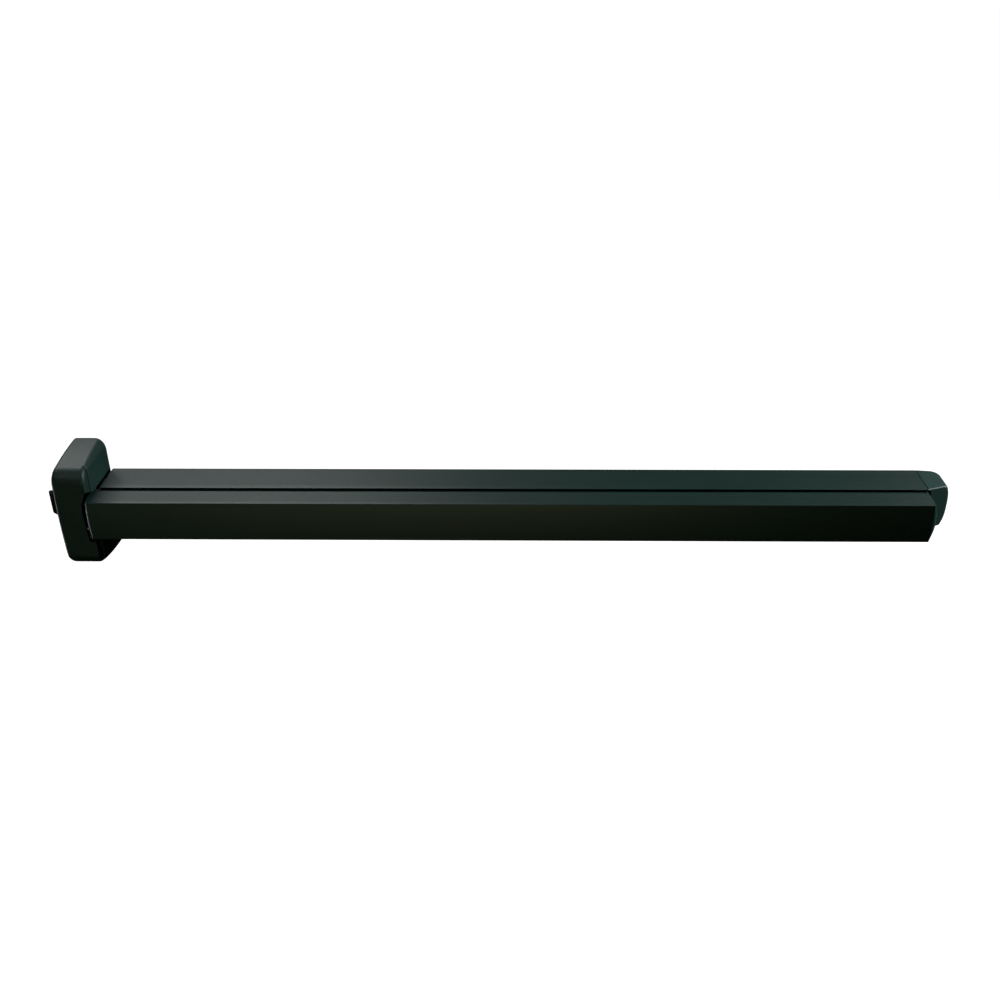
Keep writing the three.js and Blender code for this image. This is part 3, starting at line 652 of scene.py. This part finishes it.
def make_bar_cap(node, end, side, dome, crown):
    """A domed cap with a hollow spigot in the bar. It is lofted upwards from plan outlines."""
    front, back, top = bar_low.y, bar_high.y, bar_high.z
    depths = [(i / 28) ** 2.2 for i in range(29)]
    levels = [top * math.sin(math.radians(a)) for a in range(-84, 85, 6)]
    levels = [z for z in levels if abs(z) < top - CAP_EDGE]
    levels += [sign * (top - CAP_EDGE * (1 - math.sin(math.radians(a))))
               for sign in (-1, 1) for a in range(0, 91, 10)]
    levels = sorted(levels + [sign * (top - 0.2 * CAP_FRONT_EDGE) for sign in (-1, 1)])
    rings = []
    for z in levels:
        reach = dome - crown * (z / top) ** 2 - pinch(top - abs(z), CAP_EDGE)
        edge = face_y(z) + pinch(top - abs(z), CAP_FRONT_EDGE)
        ring = [(end - side * CAP_LAP, back, z), (end - side * CAP_LAP, edge, z)]
        ring += [(end + side * reach * cap_bulge(t), edge + (back - edge) * t, z) for t in depths]
        rings.append(ring)
    dome_mesh = loft("dome", rings)
    inside = top - WALL - SPIGOT_PLAY
    spigot_front = front + WALL + SPIGOT_PLAY
    x0, x1 = sorted((end + side * SPIGOT_ROOT, end - side * CAP_SPIGOT))
    spigot = box_mesh("spigot", (x0, spigot_front, -inside), (x1, back, inside))
    hollow_x = (x0 - MM, x1 - SPIGOT_ROOT) if side > 0 else (x0 + SPIGOT_ROOT, x1 + MM)
    hollow = box_mesh("hollow", (hollow_x[0], spigot_front + WALL, -inside + WALL),
                      (hollow_x[1], back + MM, inside - WALL))
    relief_z = RIB_OUTER + RELIEF_PLAY
    relief = box_mesh("relief", (x0 - MM, spigot_front - MM, -relief_z),
                      (x1 + MM, front + RIB_BACK + RELIEF_PLAY, relief_z))
    spigot = bevelled(carved(spigot, [hollow, relief]), SPIGOT_EDGE)
    finished(node + "_dome", dome_mesh, node)
    finished(node + "_spigot", spigot, node)


# ------------------------------------------------------------------ latch head cover
TOP_CROWN = 1.3          # per metre: the top falls away from the door as TOP_CROWN * y * y
BOTTOM_CROWN = 1.9
HEAD_BULGE = 1.2 * MM    # its left side is crowned by this much over BULGE_HALF up and down
BULGE_HALF = 50 * MM
NOSE_RADIUS = 16 * MM    # from the front to the top and the bottom
COVER_WALL = 2.5 * MM
COVER_EDGE = 0.35 * MM   # rounding of the edges that the cutters leave
SHOULDER = 14.2 * MM     # from the front: where the rail's side of the cover steps in
STRIP_STEP = 0.8 * MM    # the strip in front of the shoulder is set back
GROOVE = 1.0 * MM        # and goes deeper towards the shoulder
GROOVE_WIDTH = 3.5 * MM
FRONT_EDGE_LEFT = 3.0 * MM   # radii between the front and the sides
FRONT_EDGE_RIGHT = 1.0 * MM
CORNER_LEFT = 6.5 * MM   # radii of the outline, seen from the front
CORNER_BELOW_RAIL = 4 * MM
CORNER_ABOVE_RAIL = (11 * MM, 14 * MM)   # at the door
CORNER_TIGHTENS = (6 * MM, 8 * MM)       # by this much, CORNER_DEPTH in front of the door
CORNER_DEPTH = 60 * MM


def eased(t):
    """From 0 to 1, with a soft start and end."""
    t = max(0.0, min(1.0, t))
    return t * t * (3 - 2 * t)


def strip_setback(y):
    """How far the rail's side of the cover is set back at one depth: a plain strip in front, a
    groove that deepens towards the side's rounded shoulder, and the full side behind it."""
    from_front = y - head_low.y
    if from_front >= SHOULDER:
        return pinch(from_front - SHOULDER, STRIP_STEP + GROOVE)
    return STRIP_STEP + GROOVE * (1 - eased((SHOULDER - from_front) / GROOVE_WIDTH))


def head_edge(y, height, crown, inset):
    """Half the head's height above or below the middle, at one depth."""
    front = head_low.y + inset
    nose = NOSE_RADIUS - inset
    centre_y = front + nose
    return height - crown * min(0.0, max(y, centre_y)) ** 2 - inset - pinch(y - front, nose)


def head_ring(y, inset):
    """The head's outline in (x, z) at one depth."""
    front = head_low.y + inset
    left = head_low.x + HEAD_BULGE + inset + pinch(y - front, FRONT_EDGE_LEFT)
    right = head_high.x - inset - pinch(y - front, FRONT_EDGE_RIGHT)
    if inset == 0:
        right -= strip_setback(y)
    depth = min(1.0, abs(y) / CORNER_DEPTH)
    above_rail = tuple(radius - tightens * depth - inset
                       for radius, tightens in zip(CORNER_ABOVE_RAIL, CORNER_TIGHTENS))
    near_side = (CORNER_LEFT - inset, CORNER_LEFT - inset)
    below_rail = (CORNER_BELOW_RAIL - inset, CORNER_BELOW_RAIL - inset)
    corners = [above_rail, near_side, near_side, below_rail]
    top = head_edge(y, head_high.z, TOP_CROWN, inset)
    bottom = -head_edge(y, -head_low.z, BOTTOM_CROWN, inset)
    ring = rounded_ring(left, right, bottom, top, corners)
    side = [(left - HEAD_BULGE * (1 - (z / BULGE_HALF) ** 2), z)
            for z in (BULGE_HALF * i / 10 for i in range(9, -10, -1))]
    middle = len(ring) // 2
    return ring[:middle] + side + ring[middle:]


def rounded_ring(left, right, bottom, top, corners, steps=10):
    """A rectangle with four elliptical corners, from the top right one anticlockwise."""
    points = [(right, top, -1, -1), (left, top, 1, -1), (left, bottom, 1, 1),
              (right, bottom, -1, 1)]
    ring = []
    for k, ((x, z, sx, sz), (rx, rz)) in enumerate(zip(points, corners)):
        for i in range(steps + 1):
            angle = math.radians(90 * k + 90 * i / steps)
            ring.append((x + sx * rx + rx * math.cos(angle), z + sz * rz + rz * math.sin(angle)))
    return ring


def head_depths(inset, back):
    """Depths of the head's rings, close together where its surface turns."""
    front = head_low.y + inset
    nose = NOSE_RADIUS - inset
    depths = [back + (front + nose - back) * i / 10 for i in range(11)]
    shoulder = head_low.y + SHOULDER
    radius = STRIP_STEP + GROOVE
    depths += [shoulder + radius * (1 - math.cos(math.radians(a))) for a in range(0, 91, 15)]
    depths += [shoulder - GROOVE_WIDTH * i / 6 for i in range(1, 7)]
    depths += [front + nose * (1 - math.sin(math.radians(a))) for a in range(6, 91, 4)]
    depths += [front + d * MM for d in (0.05, 0.2, 0.45, 0.8, 1.2, 1.7, 2.3, 3.0)]
    return sorted({round(d, 6) for d in depths if d >= front} | {round(front, 6)}, reverse=True)


def head_solid(name, inset, back):
    """The head's outside, or with an inset its hollow, from the door to the front."""
    rings = []
    for y in head_depths(inset, back):
        rings.append([(x, y, z) for x, z in head_ring(y, inset)])
    return loft(name, rings)


MOUTH_PLAY = 0.8 * MM    # round the rail's end, where it meets the head
RECESS_PLAY = 1.9 * MM   # between the recess and the push bar's cap
RECESS_CENTRE = 8 * MM   # height of the middle of its half ellipse
RECESS_FLOOR = -29.3 * MM    # height of its flat floor
RECESS_LEAN = 1.5 * MM   # how far its side leans in from the middle down to its lower corner
RECESS_CORNER_X, RECESS_CORNER_Z = 3.1 * MM, 2.4 * MM
RECESS_RISE = 18.3 * MM  # of the half ellipse at the rail,
RECESS_FLARE = 8.7 * MM  # and how much more at the front
FLARE_START, FLARE_RUN = 0.15, 0.80      # shares of the recess's depth
RECESS_PAST = 0.8 * MM   # from the head's side to the half ellipse's middle
CUT_PAST = 3 * MM        # how far the cutters reach past the head's outside,
PAST_DOOR = 2 * MM       # and past the door's face
WINDOW_Y = (-54 * MM, -29.3 * MM)        # the latch's window
WINDOW_HALF = 14.4 * MM
WINDOW_CORNER = 1.5 * MM


def recess_edge(left, right, rise):
    """The recess in (x, z): half an ellipse above, a leaning side, and a rounded lower corner."""
    middle = head_high.x + RECESS_PAST
    side_end = RECESS_FLOOR + RECESS_CORNER_Z
    edge = [(right, RECESS_CENTRE + rise)]
    for a in range(90, 181, 6):
        angle = math.radians(a)
        edge.append((middle + (middle - left) * math.cos(angle),
                     RECESS_CENTRE + rise * math.sin(angle)))
    for i in range(1, 11):
        share = i / 10
        z = RECESS_CENTRE + (side_end - RECESS_CENTRE) * share
        edge.append((left + RECESS_LEAN * share ** 1.6, z))
    for a in range(10, 91, 10):
        angle = math.radians(a)
        edge.append((left + RECESS_LEAN + RECESS_CORNER_X * (1 - math.cos(angle)),
                     RECESS_FLOOR + RECESS_CORNER_Z * (1 - math.sin(angle))))
    edge.append((right, RECESS_FLOOR))
    return edge


def recess_cutter():
    """The space that the push bar's end sits and moves in. Its top flares up to the front."""
    lip = rail_low.y
    right = head_high.x + CUT_PAST
    left = cap_left_low.x - RECESS_PLAY
    steps = 14
    rings = []
    for i in range(steps + 1):
        t = i / steps
        y = lip + (head_low.y - CUT_PAST - lip) * t
        rise = RECESS_RISE + RECESS_FLARE * eased((t - FLARE_START) / FLARE_RUN)
        rings.append([(x, y, z) for x, z in recess_edge(left, right, rise)])
    return loft("recess", rings)


def make_head_cover():
    """The cover: a crowned shell, cut for the bar's end, the rail, the latch and the screws."""
    outer = head_solid("cover", 0.0, 0.0)
    inner = head_solid("inner", COVER_WALL, PAST_DOOR)
    mouth_left = head_high.x - COVER_WALL - 1.5 * MM
    mouth = box_mesh("mouth", (mouth_left, rail_low.y - MOUTH_PLAY, rail_low.z - MOUTH_PLAY),
                     (head_high.x + CUT_PAST, -WALL, rail_high.z + MOUTH_PLAY))
    through_left = (head_low.x - CUT_PAST, head_low.x + 2 * COVER_WALL)
    front, back = WINDOW_Y
    window_edge = [(front, -WINDOW_HALF), (back, -WINDOW_HALF), (back, WINDOW_HALF),
                   (front, WINDOW_HALF)]
    window = swept_x("window", fillet(window_edge, WINDOW_CORNER), through_left)
    cutters = [inner, recess_cutter(), mouth, window]
    for level in ("upper", "lower"):
        centre = middle_of(f"cover_screw_{level}", "x")
        cutters.append(cylinder("hole", "x", *through_left, centre, HOLE_RADIUS))
    mesh = carved(outer, cutters)
    finished("head_cover_casting", bevelled(mesh, COVER_EDGE), "head_cover")


# ------------------------------------------------------------------ end cap
END_WALL = 2.0 * MM
END_GAP = 0.6 * MM       # added to the CAD's gap between the rail and the cap
END_FRONT = -46.8 * MM   # of the front's edge at the rail
END_TAPER = 0.36         # how steeply the front falls back to the far side
END_CROWN = 5.2 * MM     # how far the far side falls back at the top and the bottom
END_FRONT_CORNER = 4.4 * MM  # radii of the far side's corners, seen from above
END_BACK_CORNER = 11 * MM
END_RIDGE = 2.2 * MM     # rounding between the front and side and the top and bottom
END_POCKET = 6.6 * MM    # from the rail's end: room for the push bar's end
POCKET_CROWN = 3.4 * MM  # how much less room it gives at the top and the bottom
POCKET_FRONT = -60 * MM  # in front of the whole cap
END_EDGE = 0.3 * MM


def end_ring(z, inset, left, back):
    """The cap's plan at one height. Its far side falls back towards the top and the bottom."""
    slope = math.atan(END_TAPER)
    far = end_high.x - END_CROWN * abs(z / rail_high.z) ** 3
    centre_x = far - END_FRONT_CORNER
    front = END_FRONT + END_TAPER * (centre_x - end_low.x)
    centre_y = front + END_FRONT_CORNER / math.cos(slope)
    edge = END_FRONT + END_TAPER * (left - end_low.x) + inset / math.cos(slope)
    ring = [(left, back), (left, edge)]
    for i in range(13):
        angle = math.radians(270) + slope + (math.radians(90) - slope) * i / 12
        r = END_FRONT_CORNER - inset
        ring.append((centre_x + r * math.cos(angle), centre_y + r * math.sin(angle)))
    for i in range(15):
        angle = math.radians(90) * i / 14
        r = END_BACK_CORNER - inset
        ring.append((far - END_BACK_CORNER + r * math.cos(angle),
                     back - END_BACK_CORNER + r * math.sin(angle)))
    return [(x, y, z) for x, y in ring]


def end_solid(name, inset, left, back):
    """The cap's outside, or with an inset its hollow, from the bottom to the top."""
    half = rail_high.z - inset
    ridge = END_RIDGE - 0.5 * inset
    flat = half - ridge
    levels = [flat * i / 9 for i in range(-9, 10)]
    steps = [flat + ridge * math.sin(math.radians(a)) for a in range(10, 91, 10)]
    rings = []
    for z in sorted(levels + steps + [-s for s in steps]):
        rings.append(end_ring(z, inset + pinch(half - abs(z), ridge), left, back))
    return loft(name, rings)


def make_end_cap():
    """The moulded cap at the far end, open to the rail and to the door."""
    left = end_low.x + END_GAP
    outer = end_solid("end", 0.0, left, 0.0)
    inner = end_solid("inner", END_WALL, left + MM, PAST_DOOR)
    half = rail_high.z - END_WALL
    rings = []
    for y in (POCKET_FRONT, PAST_DOOR):
        ring = [(left - MM, y, half), (left - MM, y, -half)]
        for i in range(-12, 13):
            z = half * i / 12
            ring.append((end_low.x + END_POCKET - POCKET_CROWN * (i / 12) ** 2, y, z))
        rings.append(ring)
    pocket = loft("pocket", rings)
    centre = middle_of("end_cap_screw", "z")
    hole = cylinder("hole", "z", rail_low.z - 2 * END_WALL, rail_low.z + 3 * END_WALL, centre,
                    HOLE_RADIUS)
    mesh = carved(outer, [inner, pocket, hole])
    finished("end_cap_moulding", bevelled(mesh, END_EDGE, angle=50), "end_cap")


# ------------------------------------------------------------------ pressed and moulded inner parts
def make_refined(node, width, segments=2):
    """A CAD solid with its flat faces made whole and its edges rounded."""
    bm = bmesh.new()
    bm.from_mesh(frame["nodes"][node].data)
    bmesh.ops.remove_doubles(bm, verts=bm.verts, dist=1e-6)
    bmesh.ops.dissolve_limit(bm, angle_limit=math.radians(1.0), verts=bm.verts, edges=bm.edges)
    mesh = bpy.data.meshes.new(node)
    bm.to_mesh(mesh)
    bm.free()
    finished(node + "_part", bevelled(mesh, width, segments, angle=35), node)


# ------------------------------------------------------------------ screws, pins and springs
def lathe(name, profile, axis, centre, sides=48):
    """A profile of (radius, along) pairs turned about an axis. Both ends are on the axis."""
    points = [on_axis(axis, profile[0][1], *centre), on_axis(axis, profile[-1][1], *centre)]
    rows = []
    for radius, along in profile[1:-1]:
        row = []
        for i in range(sides):
            angle = 2 * math.pi * i / sides
            row.append(len(points))
            points.append(on_axis(axis, along, centre[0] + radius * math.cos(angle),
                                  centre[1] + radius * math.sin(angle)))
        rows.append(row)
    faces = []
    for i in range(sides):
        j = (i + 1) % sides
        faces.append((0, rows[0][i], rows[0][j]))
        faces.append((1, rows[-1][j], rows[-1][i]))
        for a, b in zip(rows, rows[1:]):
            faces.append((a[i], a[j], b[j], b[i]))
    return mesh_of(name, points, faces)


SHANK_RADIUS = 1.9 * MM
SHANK_CHAMFER = 0.3 * MM
THREAD_PITCH = 0.7 * MM
THREAD_DEPTH = 0.28 * MM
THREAD_START = 0.4 * MM  # plain shank under the head, and as much again at the tip
HEAD_HEIGHT = 0.62       # of a screw's head, as a share of its radius
# A pan head from its middle out: shares of the head's radius and of its height below the top.
PAN_HEAD = ((0, 0), (0.35, 0.01), (0.62, 0.10), (0.82, 0.30), (0.95, 0.58), (1, 0.80), (1, 1))
# The cross recess at two depths: share of the head's height, and of its size at the top.
CROSS = ((-0.3, 1.0), (0.75, 0.72))
CROSS_LENGTH, CROSS_WIDTH = 0.56, 0.13           # half of each, as shares of the head's radius


def make_screw(node, axis, sign):
    """A pan-head screw with a cross recess. sign is the way along the axis that its head faces."""
    low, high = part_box(node)
    k = "xyz".index(axis)
    centre = middle_of(node, axis)
    across = 1 if axis == "z" else 2
    radius = (high[across] - low[across]) / 2
    top = high[k] if sign > 0 else low[k]
    tail = low[k] if sign > 0 else high[k]
    height = HEAD_HEIGHT * radius
    seat = top - sign * height
    profile = [(share * radius, top - sign * drop * height) for share, drop in PAN_HEAD]
    profile.append((SHANK_RADIUS, seat))
    turns = int((abs(tail - seat) - 2 * THREAD_START) / THREAD_PITCH)
    for i in range(turns):
        at = seat - sign * (THREAD_START + i * THREAD_PITCH)
        profile.append((SHANK_RADIUS, at))
        profile.append((SHANK_RADIUS - THREAD_DEPTH, at - sign * THREAD_PITCH / 2))
    profile.append((SHANK_RADIUS, tail + sign * SHANK_CHAMFER))
    profile += [(SHANK_RADIUS - SHANK_CHAMFER, tail), (0, tail)]
    mesh = lathe(node, profile, axis, centre)
    slots = []
    for quarter in (0, 1):
        rings = []
        for depth, grow in CROSS:
            length, width = CROSS_LENGTH * radius * grow, CROSS_WIDTH * radius * grow
            u, v = (length, width) if quarter else (width, length)
            along = top - sign * depth * height
            rings.append([on_axis(axis, along, centre[0] + a * u, centre[1] + b * v)
                          for a, b in ((-1, -1), (1, -1), (1, 1), (-1, 1))])
        slots.append(loft("slot", rings))
    finished(node + "_turned", carved(mesh, slots), node)


PIVOT_RADIUS = 3 * MM
PIVOT_HEAD_RADIUS = 4.6 * MM
PIVOT_HEAD = 1.4 * MM    # thickness
PIVOT_CHAMFER = 0.25 * MM
CLIP_GROOVE = (1.2 * MM, 2.2 * MM)       # up from a pivot pin's lower end
CLIP_GROOVE_DEPTH = 0.8 * MM
PIN_CHAMFER = 0.3 * MM


def make_headed_pin(node):
    """An upright pivot pin: a head on top and a clip's groove below."""
    low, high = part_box(node)
    z0, z1 = low.z, high.z
    r, wide, c = PIVOT_RADIUS, PIVOT_HEAD_RADIUS, PIVOT_CHAMFER
    neck = r - CLIP_GROOVE_DEPTH
    groove_start, groove_end = (z0 + up for up in CLIP_GROOVE)
    head = z1 - PIVOT_HEAD
    profile = [
        (0, z0), (r - c, z0), (r, z0 + c), (r, groove_start), (neck, groove_start),
        (neck, groove_end), (r, groove_end), (r, head), (wide - c, head), (wide, head + c),
        (wide, z1 - c), (wide - c, z1), (0, z1),
    ]
    finished(node + "_turned", lathe(node, profile, "z", middle_of(node, "z")), node)


def make_plain_pin(node):
    """A straight pin with both ends chamfered."""
    low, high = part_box(node)
    r, c = (high.y - low.y) / 2, PIN_CHAMFER
    profile = [(0, low.z), (r - c, low.z), (r, low.z + c)]
    profile += [(r, high.z - c), (r - c, high.z), (0, high.z)]
    finished(node + "_turned", lathe(node, profile, "z", middle_of(node, "z")), node)


POST_RADIUS = 2.2 * MM
POST_FLANGE_RADIUS = 4.2 * MM
POST_FLANGE = 1.0 * MM   # thickness
POST_CHAMFER = 0.2 * MM
POST_ROOT = 0.3 * MM     # fillet between the flange and the post


def make_post(node):
    """A spring's centring post with a round nose and a flange on the bracket."""
    low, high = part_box(node)
    r, wide = POST_RADIUS, POST_FLANGE_RADIUS
    base, tip = high.y, low.y
    face = base - POST_FLANGE
    profile = [
        (0, base), (wide, base), (wide, face + POST_CHAMFER), (wide - POST_CHAMFER, face),
        (r + POST_ROOT, face), (r, face - POST_ROOT),
    ]
    for a in range(0, 90, 15):
        angle = math.radians(a)
        profile.append((r * math.cos(angle), tip + r * (1 - math.sin(angle))))
    profile.append((0, tip))
    finished(node + "_turned", lathe(node, profile, "y", middle_of(node, "y")), node)


def tube(name, path, radius, sides=10):
    """A round wire along a path of points, with flat ends."""
    path = [Vector(p) for p in path]
    rings = []
    side = None
    for i, point in enumerate(path):
        ahead = path[min(i + 1, len(path) - 1)] - path[max(i - 1, 0)]
        ahead.normalize()
        if side is None:
            side = ahead.orthogonal().normalized()
        side = (side - ahead * side.dot(ahead)).normalized()
        other = ahead.cross(side)
        ring = []
        for k in range(sides):
            angle = 2 * math.pi * k / sides
            ring.append(point + (side * math.cos(angle) + other * math.sin(angle)) * radius)
        rings.append(ring)
    return loft(name, rings)


CLOSED_LEAD = 0.09       # rise of a closed turn, as a share of the mean rise of a turn


def coil_path(axis, start, end, centre, radius, turns, closed=1.0, steps=26):
    """A helix whose first and last turns lie almost flat, like a ground compression spring."""
    path = []
    edge = closed * CLOSED_LEAD
    middle = turns - 2 * closed
    for i in range(turns * steps + 1):
        turn_now = i / steps
        rest = turns - turn_now
        if turn_now < closed:
            t = turn_now / closed * edge / turns
        elif rest < closed:
            t = 1 - rest / closed * edge / turns
        else:
            t = edge / turns + (turn_now - closed) / middle * (1 - 2 * edge / turns)
        angle = 2 * math.pi * turn_now
        path.append(on_axis(axis, start + (end - start) * t, centre[0] + radius * math.cos(angle),
                            centre[1] + radius * math.sin(angle)))
    return path


SPRING_WIRE = 1.2 * MM
SPRING_TURNS = 12
LATCH_SPRING_WIRE = 1.1 * MM
LATCH_SPRING_TURNS = 5
LATCH_SPRING_LEG = 2.0 * MM
LEG_LEAN = 0.2 * MM      # of each leg's end, along X


def make_return_spring(node):
    """A spring from a crank's bracket to the bar's bracket, built as one fixed coil."""
    low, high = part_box(node)
    centre = middle_of(node, "y")
    half = SPRING_WIRE / 2
    radius = (high.z - low.z) / 2 - half
    path = coil_path("y", high.y - half, low.y + half, centre, radius, SPRING_TURNS)
    piece = finished(node + "_coil", tube(node, path, half), node, weighted=False)
    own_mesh(piece)


def make_latch_spring():
    """A torsion spring round the latch's pivot pin, with its two short legs."""
    node = "latch_spring"
    low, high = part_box(node)
    half, leg = LATCH_SPRING_WIRE / 2, LATCH_SPRING_LEG
    radius = (high.y - low.y) / 2 - half
    path = coil_path("z", low.z + half, high.z - half, middle_of(node, "z"), radius,
                     LATCH_SPRING_TURNS, closed=0.5)
    first, last = Vector(path[0]), Vector(path[-1])
    path = [first + Vector((LEG_LEAN, -leg, 0)), first + Vector((0, -leg / 2, 0))] + path
    path += [last + Vector((0, leg / 2, 0)), last + Vector((LEG_LEAN, leg, 0))]
    finished("latch_spring_coil", tube(node, path, half), node, weighted=False)


# ------------------------------------------------------------------ assembly
make_camera()
make_lights()
make_stage()

make_rail()
make_push_bar()
make_bar_cap("bar_cap_left", bar_low.x, -1, bar_low.x - cap_left_low.x, CAP_CROWN_LEFT)
make_bar_cap("bar_cap_right", bar_high.x, 1, cap_right_high.x - bar_high.x, CAP_CROWN_RIGHT)
make_head_cover()
make_end_cap()

PRESSED_EDGE, ROUND_EDGE, CLIP_EDGE = 0.25 * MM, 0.5 * MM, 0.12 * MM
PRESSED = [
    "head_base_plate", "latch_bracket_upper", "latch_bracket_lower", "end_bracket", "link_rod",
]
ROUND_EDGED = ["latch_bolt"]
for hand in ("left", "right"):
    PRESSED += [f"crank_bracket_{hand}", f"bar_bracket_{hand}", f"bell_crank_{hand}"]
    ROUND_EDGED += [f"rod_guide_{hand}", f"rubber_stop_{hand}"]
for node in PRESSED:
    make_refined(node, PRESSED_EDGE)
for node in ROUND_EDGED:
    make_refined(node, ROUND_EDGE, segments=3)

for node in list(frame["nodes"]):
    if "screw" in node:
        if node.startswith("cover"):
            make_screw(node, "x", -1)
        elif node.startswith("end_cap"):
            make_screw(node, "z", -1)
        else:
            make_screw(node, "y", -1)
    elif "pivot_pin" in node:
        make_headed_pin(node)
    elif node.endswith("clip") or "clip_" in node:
        make_refined(node, CLIP_EDGE)
    elif "rod_pin" in node or "bar_pin" in node:
        make_plain_pin(node)
    elif node.startswith("spring_post"):
        make_post(node)
    elif node.startswith("return_spring"):
        make_return_spring(node)
make_latch_spring()
